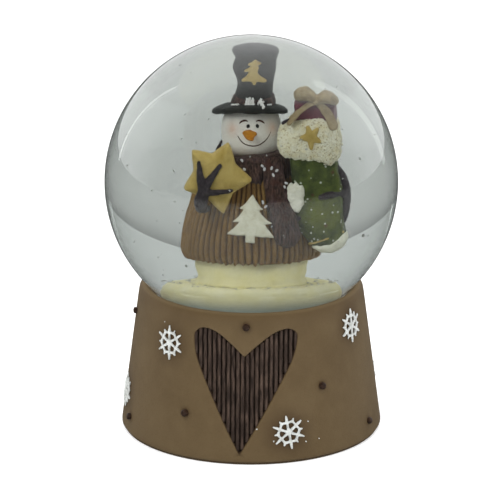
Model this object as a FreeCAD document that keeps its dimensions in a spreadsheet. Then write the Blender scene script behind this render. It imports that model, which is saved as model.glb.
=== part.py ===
import FreeCAD, Part
import math
import os
import Sketcher

# Musical snow globe: a hollow cast base, a liquid-filled glass ball with a dressed snow figure,
# and a wind-up movement that turns a pinned cylinder under a steel comb.
# The frame stands on the table: origin at the middle of the base's foot, +Z up, the figure faces -Y.

Vector = FreeCAD.Vector
Rotation = FreeCAD.Rotation
Placement = FreeCAD.Placement
X_AXIS = Vector(1, 0, 0)
Y_AXIS = Vector(0, 1, 0)
Z_AXIS = Vector(0, 0, 1)

os.makedirs("parts", exist_ok=True)
doc = FreeCAD.newDocument("SnowGlobe")
sheet = doc.addObject("Spreadsheet::Sheet", "Dims")
nodes = {}

DIMENSIONS = [
    # base
    ("base_bottom_radius", 45.0), ("base_top_radius", 38.2), ("base_height", 51.2),
    ("felt_thickness", 0.8), ("felt_inner_radius", 40.0), ("felt_outer_radius", 44.2),
    ("rim_round", 2.0),
    ("hollow_radius", 37.0), ("hollow_top", 32.0), ("recess_radius", 38.9), ("recess_top", 11.0),
    ("socket_radius", 33.8), ("socket_floor", 35.5), ("seat_gap", 0.12),
    ("boss_radius", 3.4), ("boss_height", 9.0), ("boss_circle", 34.2), ("boss_count", 3),
    ("boss_turn", 70.0),
    ("heart_width", 34.4), ("heart_height", 42.2), ("heart_tip", 3.2), ("heart_turn", -3.2),
    ("heart_lean", 0.045), ("heart_shift", -1.6),
    ("heart_depth", 1.2), ("inlay_thickness", 0.6),
    ("flake_radius", 5.9), ("flake_inner", 3.1), ("flake_proud", 1.0), ("flake_sunk", 0.6),
    ("peg_radius", 1.15), ("peg_proud", 1.2), ("peg_sunk", 0.8),
    # glass ball
    ("globe_radius", 50.0), ("globe_centre", 86.0), ("glass_wall", 2.4),
    ("neck_radius", 31.0), ("neck_bottom", 37.0),
    ("stopper_top", 49.5),
    # bottom cover and its screws
    ("cover_radius", 38.6), ("cover_thickness", 3.0), ("cover_hole", 4.0),
    ("cover_screw_radius", 1.4), ("cover_head_radius", 2.6), ("cover_head_height", 1.3),
    ("cover_screw_length", 8.0),
    # movement: bedplate and bearing plates
    ("bed_left", -21.5), ("bed_right", 29.5), ("bed_front", -21.5), ("bed_back", 17.5),
    ("bed_thickness", 2.0), ("bed_round", 2.0),
    ("wind_place", -9.0), ("shaft_radius", 1.75), ("shaft_bottom", 1.8), ("shaft_top", 22.8),
    ("running_gap", 0.05),
    ("drum_radius", 12.5), ("drum_height", 6.4), ("drum_wall", 0.8),
    ("spring_strip", 0.45), ("spring_pitch", 1.1), ("spring_turns", 7.0), ("spring_height", 4.4),
    ("axle_height", 24.5), ("arbor_radius", 0.8), ("arbor_left", 0.4), ("arbor_right", 26.2),
    ("crown_radius", 11.0), ("crown_teeth", 36), ("crown_bottom", 19.8), ("crown_web", 1.2),
    ("crown_tooth_height", 1.3), ("crown_tooth_length", 2.0), ("crown_tooth_width", 0.62),
    ("pinion_teeth", 9), ("pinion_root", 2.05), ("pinion_tip", 3.25), ("pinion_length", 2.0),
    ("plate_height", 16.0), ("plate_thickness", 1.0), ("inner_plate_place", 3.8),
    ("outer_plate_place", 22.4), ("plate_front", -4.0), ("plate_back", 10.5), ("arm_back", 16.6),
    ("arm_height", 1.5), ("arm_reach", 5.6), ("arm_front", 13.5),
    # pinned cylinder and comb
    ("cylinder_radius", 6.0), ("cylinder_left", 5.2), ("cylinder_right", 22.0),
    ("pin_proud", 0.5), ("pin_radius", 0.16), ("note_count", 18), ("note_pitch", 0.9),
    ("comb_gap", 0.2), ("comb_thickness", 0.8), ("tooth_width", 0.62), ("tooth_length", 7.4),
    ("comb_back", -21.0), ("rest_front", -14.6), ("comb_screw_radius", 1.0), ("comb_head_radius", 1.9),
    # governor
    ("gear_teeth", 24), ("gear_root", 5.35), ("gear_tip", 6.4), ("gear_width", 1.3),
    ("gear_place", 23.8),
    ("small_teeth", 8), ("small_root", 1.4), ("small_tip", 2.4), ("governor_offset", 8.0),
    ("governor_radius", 5.0), ("governor_teeth", 30), ("governor_place", 25.6), ("governor_width", 0.9),
    ("stud_radius", 0.6), ("stud_length", 5.0),
    ("worm_radius", 0.9), ("worm_offset", 6.1), ("spindle_radius", 0.4), ("fan_radius", 3.3),
    ("fan_bottom", 14.2), ("fan_height", 3.6), ("fan_thickness", 0.5),
    # key
    ("key_bottom", 2.0), ("key_height", 5.0), ("key_hub_radius", 3.2), ("key_span", 25.0),
    ("key_wing_thickness", 1.8), ("key_wing_round", 3.6),
    # snow figure
    ("ground_radius", 22.6), ("ground_top", 60.2), ("body_radius", 13.5), ("body_top", 66.5),
    ("jumper_radius", 16.7), ("jumper_top", 97.2), ("neck_pinch", 6.5),
    ("head_radius", 7.8), ("head_height", 100.8), ("nose_length", 5.0), ("nose_radius", 1.9),
    ("brim_radius", 10.1), ("brim_thickness", 1.8), ("brim_height", 106.0), ("brim_tilt", 14.0),
    ("crown_base_radius", 5.6), ("crown_top_height", 128.4), ("band_height", 3.2), ("band_proud", 0.8),
    ("scarf_radius", 11.2), ("scarf_half", 3.9), ("scarf_height", 92.4),
    ("tail_width", 6.5), ("tail_thickness", 2.2), ("tail_length", 15.0), ("tail_lean", 16.0),
    ("jumper_tree_width", 12.4), ("jumper_tree_height", 12.8), ("jumper_tree_lean", 16.0),
    ("badge_thickness", 1.6), ("hat_tree_width", 7.1), ("hat_tree_height", 9.9),
    ("star_radius", 10.4), ("star_inner", 6.6), ("star_thickness", 6.0),
    ("twig_radius", 0.9),
    ("stocking_width", 13.6), ("stocking_height", 25.7), ("stocking_thickness", 8.0),
    ("stocking_left", 11.5), ("stocking_bottom", 69.5), ("stocking_front", -13.5),
    ("cuff_width", 17.4), ("cuff_height", 12.0), ("cuff_depth", 10.5), ("cuff_round", 3.0),
    ("cuff_left", 7.6), ("cuff_bottom", 94.8), ("cuff_front", -14.5),
    ("cuff_star_radius", 4.1), ("cuff_star_inner", 2.3),
    ("gift_width", 12.6), ("gift_height", 6.4), ("gift_depth", 8.5), ("gift_round", 0.8),
    ("bow_loop_ring", 2.1), ("bow_loop_tube", 0.9), ("bow_knot", 1.5), ("ribbon_width", 2.4),
    ("ribbon_thickness", 0.6), ("ribbon_length", 8.5),
    ("clump_wide", 2.6), ("clump_tall", 4.4),
]


def fill_sheet():
    for row, (alias, value) in enumerate(DIMENSIONS, start=1):
        sheet.set("A%d" % row, alias)
        sheet.set("B%d" % row, str(value))
        sheet.setAlias("B%d" % row, alias)
    doc.recompute()


def value_of(expression):
    """The number, in millimetres or degrees, that an expression on the sheet stands for."""
    result = sheet.evalExpression(expression)
    return float(getattr(result, "Value", result))


def dim(alias):
    return value_of("Dims." + alias)


def expr(text):
    """Turns $name into a reference to the sheet's cell of that name."""
    return text.replace("$", "Dims.")


# ---------------------------------------------------------------- small builders

def bind(shape, **sizes):
    for prop, text in sizes.items():
        shape.setExpression(prop, expr(text))
    return shape


def place(shape, x="0", y="0", z="0", turn=None):
    """Binds a placement's position to the sheet; turn is a fixed rotation."""
    if turn is not None:
        shape.Placement = Placement(Vector(), turn)
    for axis, text in (("x", x), ("y", y), ("z", z)):
        shape.setExpression("Placement.Base." + axis, expr(text))
    return shape


def box(name, length, width, height, x="0", y="0", z="0", turn=None):
    shape = bind(doc.addObject("Part::Box", name), Length=length, Width=width, Height=height)
    return place(shape, x, y, z, turn)


def cylinder(name, radius, height, x="0", y="0", z="0", turn=None):
    shape = bind(doc.addObject("Part::Cylinder", name), Radius=radius, Height=height)
    return place(shape, x, y, z, turn)


def sphere(name, radius, x="0", y="0", z="0"):
    return place(bind(doc.addObject("Part::Sphere", name), Radius=radius), x, y, z)


def cone(name, bottom, top, height, x="0", y="0", z="0", turn=None):
    shape = bind(doc.addObject("Part::Cone", name), Radius1=bottom, Radius2=top, Height=height)
    return place(shape, x, y, z, turn)


def fuse(name, *shapes):
    joined = doc.addObject("Part::MultiFuse", name)
    joined.Shapes = list(shapes)
    return joined


def cut(name, base, *tools):
    result = doc.addObject("Part::Cut", name)
    result.Base = base
    result.Tool = tools[0] if len(tools) == 1 else fuse(name + "_tools", *tools)
    return result


def common(name, first, second):
    result = doc.addObject("Part::MultiCommon", name)
    result.Shapes = [first, second]
    return result


def rounded(name, base, radius, keep):
    """Fillets the edges of base for which keep(edge) is true."""
    doc.recompute()
    result = doc.addObject("Part::Fillet", name)
    result.Base = base
    size = value_of(expr(radius))
    chosen = [i for i, edge in enumerate(base.Shape.Edges, start=1) if keep(edge)]
    result.Edges = [(i, size, size) for i in chosen]
    return result


def new_body(name):
    return doc.addObject("PartDesign::Body", name)


def new_sketch(body, name, role):
    sketch = body.newObject("Sketcher::SketchObject", name)
    plane = [item for item in body.Origin.OriginFeatures if item.Role == role][0]
    sketch.AttachmentSupport = [(plane, "")]
    sketch.MapMode = "FlatFace"
    return sketch


def pin_point(sketch, edge, kind, text):
    """Ties a corner's distance from one sketch axis to the sheet, or puts it on that axis."""
    axis = -2 if kind == "DistanceX" else -1
    size = value_of(expr(text))
    if abs(size) < 1e-9:
        sketch.addConstraint(Sketcher.Constraint("PointOnObject", edge, 1, axis))
        return
    index = sketch.addConstraint(Sketcher.Constraint(kind, -1, 1, edge, 1, size))
    sketch.setExpression("Constraints[%d]" % index, expr(text))


def closed_outline(sketch, corners):
    """Draws straight edges through corners, each a pair of expressions on the sheet."""
    points = [Vector(value_of(expr(a)), value_of(expr(b)), 0) for a, b in corners]
    count = len(points)
    for index in range(count):
        sketch.addGeometry(Part.LineSegment(points[index], points[(index + 1) % count]), False)
    for index in range(count):
        sketch.addConstraint(Sketcher.Constraint("Coincident", index, 2, (index + 1) % count, 1))
    for index, (across, up) in enumerate(corners):
        pin_point(sketch, index, "DistanceX", across)
        pin_point(sketch, index, "DistanceY", up)


def turned(name, profile):
    """A body of revolution about Z from (radius, height) corners."""
    body = new_body(name)
    sketch = new_sketch(body, name + "_profile", "XZ_Plane")
    closed_outline(sketch, profile)
    spin = body.newObject("PartDesign::Revolution", name + "_turned")
    spin.Profile = sketch
    spin.ReferenceAxis = (sketch, ["V_Axis"])
    spin.Angle = 360.0
    return body


def plate(name, outline, thickness, role="XZ_Plane", reverse=False):
    """A body padded from an outline of corner expressions."""
    body = new_body(name)
    sketch = new_sketch(body, name + "_outline", role)
    closed_outline(sketch, outline)
    pad = body.newObject("PartDesign::Pad", name + "_pad")
    pad.Profile = sketch
    pad.Reversed = reverse
    pad.setExpression("Length", expr(thickness))
    return body


def toothed_wheel(name, root, tip, count, width, tooth_outline, bore):
    """A spur wheel: a disc, one tooth padded from its outline, its pattern, and a bore."""
    body = new_body(name)
    rim = new_sketch(body, name + "_rim", "XY_Plane")
    rim.addGeometry(Part.Circle(Vector(), Z_AXIS, value_of(expr(root))), False)
    rim.addConstraint(Sketcher.Constraint("Coincident", 0, 3, -1, 1))
    index = rim.addConstraint(Sketcher.Constraint("Radius", 0, value_of(expr(root))))
    rim.setExpression("Constraints[%d]" % index, expr(root))
    disc = body.newObject("PartDesign::Pad", name + "_disc")
    disc.Profile = rim
    disc.setExpression("Length", expr(width))
    tooth = new_sketch(body, name + "_tooth", "XY_Plane")
    closed_outline(tooth, tooth_outline)
    raised = body.newObject("PartDesign::Pad", name + "_raised")
    raised.Profile = tooth
    raised.setExpression("Length", expr(width))
    ring = body.newObject("PartDesign::PolarPattern", name + "_ring")
    ring.Originals = [raised]
    ring.Axis = (rim, ["N_Axis"])
    ring.Angle = 360.0
    ring.Occurrences = int(value_of(expr(count)))
    body.Tip = ring
    doc.recompute()
    hole = new_sketch(body, name + "_bore", "XY_Plane")
    hole.addGeometry(Part.Circle(Vector(), Z_AXIS, value_of(expr(bore))), False)
    hole.addConstraint(Sketcher.Constraint("Coincident", 0, 3, -1, 1))
    index = hole.addConstraint(Sketcher.Constraint("Radius", 0, value_of(expr(bore))))
    hole.setExpression("Constraints[%d]" % index, expr(bore))
    pocket = body.newObject("PartDesign::Pocket", name + "_hole")
    pocket.Profile = hole
    pocket.Type = "ThroughAll"
    pocket.Midplane = True
    return body


def spur_tooth(root, tip, root_half, tip_half):
    """Corners of one straight-flanked tooth on the +X side, sunk a little into the disc."""
    return [("%s - 0.4" % root, "-1 * %s" % root_half), (tip, "-1 * %s" % tip_half),
            (tip, tip_half), ("%s - 0.4" % root, root_half)]


def feature(name, shape):
    """A piece whose shape is worked out here from the sheet's values."""
    result = doc.addObject("Part::Feature", name)
    result.Shape = shape
    return result


def node(name, shape):
    """Names a finished piece; its label is its file's name."""
    shape.Label = name
    nodes[name] = shape
    return shape


def star_outline(outer, inner, points):
    """Corner expressions of a star with one tip straight up."""
    corners = []
    for index in range(2 * points):
        size = outer if index % 2 == 0 else inner
        angle = 90 + index * 180.0 / points
        corners.append(("%s * %.8f" % (size, math.cos(math.radians(angle))),
                        "%s * %.8f" % (size, math.sin(math.radians(angle)))))
    return corners


def scaled_outline(fractions, width, height):
    """Corner expressions of an outline given as fractions of a width and a height."""
    return [("%s * %s" % (width, across), "%s * %s" % (height, up)) for across, up in fractions]


# ---------------------------------------------------------------- base

def taper_solid(name, inset):
    """The base's outer cone, moved in by inset: a solid used to trim what lies on the base."""
    return cone(name, "$base_bottom_radius - %s" % inset, "$base_top_radius - %s" % inset,
                "$base_height - $felt_thickness", z="$felt_thickness")


def base_radius_at(height):
    share = (height - dim("felt_thickness")) / (dim("base_height") - dim("felt_thickness"))
    return dim("base_bottom_radius") + share * (dim("base_top_radius") - dim("base_bottom_radius"))


def heart_prism():
    """A prism of heart section that passes through the front wall, turned to its place."""
    # Points of the right half as fractions of the half width and of the height above the tip.
    side = [(0.0, 0.0), (0.36, 0.27), (0.685, 0.535), (0.93, 0.755), (1.0, 0.905),
            (0.965, 0.967), (0.81, 1.0), (0.555, 0.972), (0.275, 0.888), (0.0, 0.787)]
    half = dim("heart_width") / 2
    tall = dim("heart_height")
    tip = dim("heart_tip")
    edges = []
    for sign, run in ((1, side), (-1, side[::-1])):
        points = []
        for across, up in run:
            middle = dim("heart_shift") + dim("heart_lean") * tall * up
            points.append(Vector(middle + sign * half * across, 0, tip + tall * up))
        curve = Part.BSplineCurve()
        curve.interpolate(points)
        edges.append(curve.toShape())
    face = Part.Face(Part.Wire(edges))
    prism = face.extrude(Vector(0, -dim("base_bottom_radius") - 2, 0))
    result = feature("heart_prism", prism)
    result.Placement = Placement(Vector(), Rotation(Z_AXIS, dim("heart_turn")))
    return result


def build_base():
    blank = turned("housing_blank", [
        ("$base_bottom_radius", "$felt_thickness"), ("$base_top_radius", "$base_height"),
        ("$socket_radius", "$base_height"), ("$socket_radius", "$socket_floor"),
        ("0", "$socket_floor"), ("0", "$hollow_top"), ("$hollow_radius", "$hollow_top"),
        ("$hollow_radius", "$recess_top"), ("$recess_radius", "$recess_top"),
        ("$recess_radius", "$felt_thickness")])
    doc.recompute()
    rim = blank.newObject("PartDesign::Fillet", "rim_round_edge")
    tip = blank.Tip if blank.Tip is not rim else blank.Group[-2]
    outer = [i for i, edge in enumerate(tip.Shape.Edges, start=1)
             if abs(edge.BoundBox.XLength / 2 - dim("base_top_radius")) < 1e-3]
    rim.Base = (tip, ["Edge%d" % i for i in outer])
    rim.setExpression("Radius", expr("$rim_round"))
    seat = sphere("globe_seat", "$globe_radius + $seat_gap", z="$globe_centre")
    prism = heart_prism()
    behind = taper_solid("heart_floor", "$heart_depth")
    recess = cut("heart_recess", prism, behind)
    bosses = []
    for index in range(int(dim("boss_count"))):
        angle = dim("boss_turn") + index * 360 / dim("boss_count")
        bosses.append(cylinder("boss_%d" % index, "$boss_radius", "$boss_height",
                               x="$boss_circle * %.6f" % math.cos(math.radians(angle)),
                               y="$boss_circle * %.6f" % math.sin(math.radians(angle)),
                               z="$recess_top"))
    screws = cover_screws("screw_room")
    shell = fuse("housing_with_bosses", blank, *bosses)
    node("base_housing", cut("housing", shell, seat, recess, screws))

    shell_out = taper_solid("inlay_front", "($heart_depth - $inlay_thickness)")
    slab = common("inlay_slab", heart_prism(), shell_out)
    node("heart_inlay", cut("inlay", slab, taper_solid("inlay_back", "$heart_depth")))

    felt = turned("felt", [("$felt_inner_radius", "0"), ("$felt_outer_radius", "0"),
                           ("$felt_outer_radius", "$felt_thickness"),
                           ("$felt_inner_radius", "$felt_thickness")])
    node("base_felt_ring", felt)

    cover = cylinder("cover_disc", "$cover_radius", "$cover_thickness",
                     z="$recess_top - $cover_thickness")
    hole = cylinder("cover_hole_tool", "$cover_hole", "$cover_thickness * 3",
                    x="$wind_place", z="$recess_top - 2 * $cover_thickness")
    node("bottom_cover", cut("cover", cover, hole, cover_screws("cover_screw_room"),
                             bed_screws("bed_screw_room")))
    node("cover_screws", cover_screws("cover_screw_set"))


def on_taper(angle, height):
    """The placement on the base's side at a turn from the front and a height, +Z outwards."""
    turn = math.radians(angle)
    radius = base_radius_at(height)
    spot = Vector(radius * math.sin(turn), -radius * math.cos(turn), height)
    rise = dim("base_height") - dim("felt_thickness")
    slope = math.degrees(math.atan2(dim("base_bottom_radius") - dim("base_top_radius"), rise))
    upright = Rotation(X_AXIS, 90)
    return Placement(spot, Rotation(Z_AXIS, angle) * Rotation(X_AXIS, -slope) * upright)


# Turn from the front in degrees and height in millimetres of what is stuck on the base's side.
FLAKE_PLACES = [(-43.0, 38.2), (58.0, 41.5), (16.6, 10.8), (-80.0, 13.8),
                (104.0, 17.0), (140.0, 40.0), (180.0, 14.0), (-135.0, 36.0)]
PEG_PLACES = [(-2.5, 46.6), (-83.0, 41.5), (-31.0, 15.8), (-70.0, 6.6), (34.5, 24.6), (65.0, 6.4),
              (106.0, 33.0), (125.0, 8.0), (165.0, 44.0), (-160.0, 20.0), (-112.0, 44.0),
              (-120.0, 8.0)]


def build_base_trim():
    """Snowflakes and pegs on the base's side, each group one node of separate solids."""
    taper_solid("trim_limit", "0")
    doc.recompute()
    limit = doc.getObject("trim_limit").Shape
    outline = []
    for index in range(12):
        size = dim("flake_radius") if index % 2 == 0 else dim("flake_inner")
        turn = math.radians(index * 30)
        outline.append(Vector(size * math.sin(turn), size * math.cos(turn), -dim("flake_sunk")))
    face = Part.Face(Part.makePolygon(outline + outline[:1]))
    flake = face.extrude(Vector(0, 0, dim("flake_sunk") + dim("flake_proud")))
    peg = Part.makeCylinder(dim("peg_radius"), dim("peg_sunk") + dim("peg_proud"),
                            Vector(0, 0, -dim("peg_sunk")))
    for name, blank, spots in (("base_snowflakes", flake, FLAKE_PLACES),
                               ("base_pegs", peg, PEG_PLACES)):
        solids = []
        for angle, height in spots:
            piece = blank.copy()
            piece.Placement = on_taper(angle, height)
            solids.append(piece.cut(limit).Solids[0])
        node(name, feature(name, Part.makeCompound(solids)))


# ---------------------------------------------------------------- glass ball and what seals it

def build_globe():
    outside = fuse("glass_outside",
                   sphere("glass_ball", "$globe_radius", z="$globe_centre"),
                   cylinder("glass_neck", "$neck_radius", "$stopper_top - $neck_bottom",
                            z="$neck_bottom"))
    inside = fuse("glass_inside",
                  sphere("glass_hollow", "$globe_radius - $glass_wall", z="$globe_centre"),
                  cylinder("neck_hollow", "$neck_radius - $glass_wall",
                           "$stopper_top - $neck_bottom + 1", z="$neck_bottom - 1"))
    node("glass_globe", cut("glass", outside, inside))
    ring = turned("sealant_blank", [
        ("$neck_radius", "$neck_bottom"), ("$socket_radius", "$neck_bottom"),
        ("$socket_radius", "$base_height - 3.6"), ("$neck_radius", "$base_height - 3.6")])
    node("neck_sealant", cut("sealant", ring, doc.getObject("glass_ball")))
    stopper = turned("stopper", [
        ("0", "$socket_floor"), ("$neck_radius", "$socket_floor"),
        ("$neck_radius", "$neck_bottom"), ("$neck_radius - $glass_wall", "$neck_bottom"),
        ("$neck_radius - $glass_wall", "$stopper_top"), ("0", "$stopper_top")])
    node("rubber_stopper", stopper)


def build_liquid(inside_pieces):
    ball = sphere("liquid_ball", "$globe_radius - $glass_wall", z="$globe_centre")
    plug = cylinder("liquid_floor", "$neck_radius - $glass_wall", "$stopper_top - 30", z="30")
    doc.recompute()
    shape = ball.Shape.cut(plug.Shape)
    for piece in inside_pieces:
        shape = shape.cut(piece.Shape)
    node("globe_liquid", feature("liquid", shape.Solids[0]))


# ---------------------------------------------------------------- snow figure

TREE = [(0.02, 1.0), (0.25, 0.71), (0.12, 0.70), (0.43, 0.40), (0.22, 0.40), (0.5, 0.05),
        (0.1, 0.10), (0.1, 0.0), (-0.1, 0.0), (-0.1, 0.12), (-0.5, 0.14), (-0.24, 0.37),
        (-0.38, 0.42), (-0.14, 0.59), (-0.25, 0.72), (-0.08, 0.80)]
STOCKING = [(0.0, 1.0), (0.08, 0.75), (0.1, 0.34), (0.22, 0.2), (0.4, 0.09), (0.66, 0.0),
            (1.0, 0.15), (0.95, 0.24), (0.98, 0.42), (1.0, 0.61), (0.92, 0.73), (0.82, 1.0)]
TOE_TOP = 0.27


def thick_line(points, radius):
    """Round rods along points, with balls at the bends."""
    solids = [Part.makeSphere(radius, points[0])]
    for start, end in zip(points, points[1:]):
        run = end - start
        solids.append(Part.makeCylinder(radius, run.Length, start, run))
        solids.append(Part.makeSphere(radius, end))
    return solids[0].multiFuse(solids[1:])


def build_figure():
    node("snow_ground", turned("ground", [
        ("0", "$stopper_top"), ("$ground_radius", "$stopper_top"),
        ("$ground_radius", "$ground_top - 5.5"), ("$ground_radius - 0.8", "$ground_top - 3"),
        ("$ground_radius - 3", "$ground_top - 1.4"), ("$ground_radius - 8", "$ground_top"),
        ("0", "$ground_top")]))
    node("snow_body", turned("lower_body", [
        ("0", "$ground_top"), ("$body_radius - 1.4", "$ground_top"),
        ("$body_radius", "$ground_top + 2.5"), ("$body_radius", "$body_top - 1"),
        ("$body_radius - 0.6", "$body_top"), ("0", "$body_top")]))
    jumper = node("ribbed_jumper", turned("jumper", [
        ("0", "$body_top"), ("$jumper_radius - 1.2", "$body_top"),
        ("$jumper_radius", "$body_top + 1.4"), ("$jumper_radius - 0.1", "$body_top + 3.4"),
        ("$jumper_radius - 0.8", "$body_top + 7"), ("$jumper_radius - 2.2", "$body_top + 13"),
        ("$jumper_radius - 4.2", "$body_top + 19"), ("$jumper_radius - 6.6", "$jumper_top - 6"),
        ("$neck_pinch", "$jumper_top - 1"), ("$neck_pinch - 1", "$jumper_top"),
        ("0", "$jumper_top")]))

    ball = sphere("head_ball", "$head_radius", z="$head_height")
    tilt = Rotation(X_AXIS, -dim("brim_tilt"))
    brim_blank = cylinder("brim_disc", "$brim_radius", "$brim_thickness", z="$brim_height", turn=tilt)
    over = cylinder("over_brim", "$brim_radius * 2", "$head_radius * 3", z="$brim_height", turn=tilt)
    head = node("head", cut("head_trimmed", ball, jumper, over))
    crown_blank = turned("hat_crown_blank", [
        ("0", "$brim_height"), ("$crown_base_radius", "$brim_height"),
        ("$crown_base_radius - 0.4", "$brim_height + 5"),
        ("$crown_base_radius - 0.8", "$brim_height + 11"),
        ("$crown_base_radius + 0.6", "$crown_top_height - 5"),
        ("$crown_base_radius + 1.2", "$crown_top_height - 2.4"),
        ("$crown_base_radius + 0.2", "$crown_top_height - 0.4"), ("0", "$crown_top_height")])
    under = cylinder("under_crown", "$brim_radius * 2", "$head_radius * 3",
                     turn=Rotation(X_AXIS, 180 - dim("brim_tilt")),
                     y="$brim_thickness * %.10f" % math.sin(math.radians(dim("brim_tilt"))),
                     z="$brim_height + $brim_thickness * %.10f" % math.cos(math.radians(dim("brim_tilt"))))
    crown = node("hat_crown", cut("hat_crown_trimmed", crown_blank, under))
    brim = node("hat_brim", cut("brim_trimmed", brim_blank, crown))
    band_blank = turned("band_blank", [
        ("0", "$brim_height"), ("$crown_base_radius + $band_proud", "$brim_height"),
        ("$crown_base_radius + $band_proud", "$brim_height + $brim_thickness + $band_height"),
        ("0", "$brim_height + $brim_thickness + $band_height")])
    band = node("hat_band", cut("band_trimmed", band_blank, crown_blank, under))
    nose = node("carrot_nose", cut("nose_trimmed",
                                   cone("nose_blank", "$nose_radius", "$nose_radius * 0.3",
                                        "$nose_length", y="-1 * $head_radius + 1.2",
                                        z="$head_height + 0.6",
                                        turn=Rotation(X_AXIS, 98)), ball))

    ring = turned("scarf_ring_blank", [
        ("$neck_pinch - 2", "$scarf_height - $scarf_half"),
        ("$scarf_radius - 3.4", "$scarf_height - $scarf_half"),
        ("$scarf_radius - 0.9", "$scarf_height - $scarf_half * 0.7"), ("$scarf_radius", "$scarf_height"),
        ("$scarf_radius - 0.9", "$scarf_height + $scarf_half * 0.7"),
        ("$scarf_radius - 3.4", "$scarf_height + $scarf_half"),
        ("$neck_pinch - 2", "$scarf_height + $scarf_half")])
    place(ring, turn=Rotation(Z_AXIS, 40))
    scarf = node("scarf_wrap", cut("scarf_trimmed", ring, jumper, ball))
    strip = box("tail_blank", "$tail_width", "$tail_thickness", "$tail_length",
                x="4", y="-14.6", z="$scarf_height - 17",
                turn=Rotation(X_AXIS, -dim("tail_lean")))
    tail = node("scarf_tail", cut("tail_trimmed", strip, jumper, scarf))

    badge = plate("tree_badge", scaled_outline(TREE, "$jumper_tree_width", "$jumper_tree_height"),
                  "$badge_thickness")
    place(badge, y="-15.2", z="$body_top + 7.1",
          turn=Rotation(X_AXIS, -dim("jumper_tree_lean")))
    node("jumper_tree", cut("tree_trimmed", badge, jumper, tail))
    hat_badge = plate("hat_badge", scaled_outline(TREE, "$hat_tree_width", "$hat_tree_height"),
                      "$badge_thickness")
    place(hat_badge, x="0.7", y="-4.6", z="$brim_height + 8.8")
    node("hat_tree", cut("hat_tree_trimmed", hat_badge, crown_blank, band))

    star_blank = plate("star_blank", star_outline("$star_radius", "$star_inner", 5),
                       "$star_thickness")
    place(star_blank, x="-9.7", y="-10.2", z="90.6", turn=Rotation(Y_AXIS, 14))
    star = node("gold_star", cut("star_trimmed", star_blank, jumper, scarf, ball))
    palm = Vector(-12.6, -17.4, 86.0)
    arm = [Vector(-11.0, -8.5, 77.0), Vector(-14.0, -13.0, 79.0), Vector(-12.9, -17.0, 81.5), palm]
    left_hand = thick_line(arm, dim("twig_radius"))
    for tip in (Vector(-14.6, -17.5, 95.0), Vector(-8.6, -17.5, 94.2), Vector(-5.6, -17.5, 87.4)):
        left_hand = left_hand.fuse(thick_line([palm, tip], dim("twig_radius")))
    left_blank = feature("left_twigs", left_hand)
    node("left_twig_hand", cut("left_hand_trimmed", left_blank, jumper, star))

    stocking_blank = plate("stocking_blank",
                           scaled_outline(STOCKING, "$stocking_width", "$stocking_height"),
                           "$stocking_thickness", reverse=True)
    place(stocking_blank, x="$stocking_left", y="$stocking_front", z="$stocking_bottom")
    low = box("toe_room", "$stocking_width * 2", "$stocking_thickness * 4",
              "$stocking_height * %s" % TOE_TOP, x="$stocking_left - 4",
              y="$stocking_front - 10", z="$stocking_bottom - 0.01")
    cuff_blank = box("cuff_block", "$cuff_width", "$cuff_depth", "$cuff_height",
                     x="$cuff_left", y="$cuff_front", z="$cuff_bottom")
    cuff_round = rounded("cuff_rounded", cuff_blank, "$cuff_round", lambda edge: True)
    cuff = node("stocking_cuff", cut("cuff_trimmed", cuff_round, jumper, scarf, ball, tail))
    stocking = node("stocking", cut("stocking_leg", stocking_blank, low, jumper, cuff, tail))
    toe = common("toe_piece", stocking_blank, low)
    node("stocking_toe", cut("toe_trimmed", toe, jumper, tail))
    cuff_star = plate("cuff_star_blank",
                      star_outline("$cuff_star_radius", "$cuff_star_inner", 5), "$badge_thickness")
    place(cuff_star, x="16.5", y="$cuff_front + 0.4", z="$cuff_bottom + 6.8",
          turn=Rotation(Y_AXIS, -16))
    node("cuff_star", cut("cuff_star_trimmed", cuff_star, cuff))
    gift_blank = box("gift_block", "$gift_width", "$gift_depth", "$gift_height",
                     x="11.9", y="$cuff_front + 1.2", z="$cuff_bottom + $cuff_height")
    gift = node("gift_box", rounded("gift_rounded", gift_blank, "$gift_round",
                                    lambda edge: edge.BoundBox.ZMax > 107))
    build_bow(gift, cuff)
    wrist = Vector(25.6, -8.0, 82.0)
    right_hand = thick_line([Vector(20.5, -4.6, 79.0), Vector(25.0, -4.4, 80.0), wrist,
                             Vector(25.0, -8.0, 91.0)], dim("twig_radius"))
    right_hand = right_hand.fuse(thick_line([wrist, Vector(25.2, -13.8, 84.6),
                                             Vector(19.4, -14.4, 85.2)], dim("twig_radius") * 0.9))
    right_blank = feature("right_twigs", right_hand)
    node("right_twig_hand", cut("right_hand_trimmed", right_blank, jumper, stocking, toe, cuff))
    clump = bind(doc.addObject("Part::Ellipsoid", "clump_blank"),
                 Radius1="$clump_tall", Radius2="$clump_wide", Radius3="$clump_wide")
    place(clump, x="11.3", y="-13.6", z="85")
    node("snow_clump", cut("clump_trimmed", clump, jumper, stocking, tail, cuff))


def build_bow(gift, cuff):
    """Two loops, a knot and two draped tails of ribbon on the gift box."""
    knot_spot = Vector(17.6, -12.4, 114.2)
    loops = []
    for side in (-1, 1):
        loop = Part.makeTorus(dim("bow_loop_ring"), dim("bow_loop_tube"))
        loop.Placement = Placement(knot_spot + Vector(side * 2.8, 0, 1.4), Rotation(X_AXIS, 80))
        loops.append(loop)
    knot = Part.makeSphere(dim("bow_knot"), knot_spot)
    shape = knot.multiFuse(loops)
    for side in (-1, 1):
        tail = Part.makeBox(dim("ribbon_length"), dim("ribbon_thickness"), dim("ribbon_width"))
        lean = 150 if side < 0 else 40
        tail.Placement = Placement(knot_spot + Vector(0, -1.35, -0.6), Rotation(Y_AXIS, lean))
        shape = shape.fuse(tail)
    blank = feature("bow_blank", shape)
    node("gift_bow", cut("bow_trimmed", blank, gift, cuff))


# ---------------------------------------------------------------- musical movement

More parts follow.
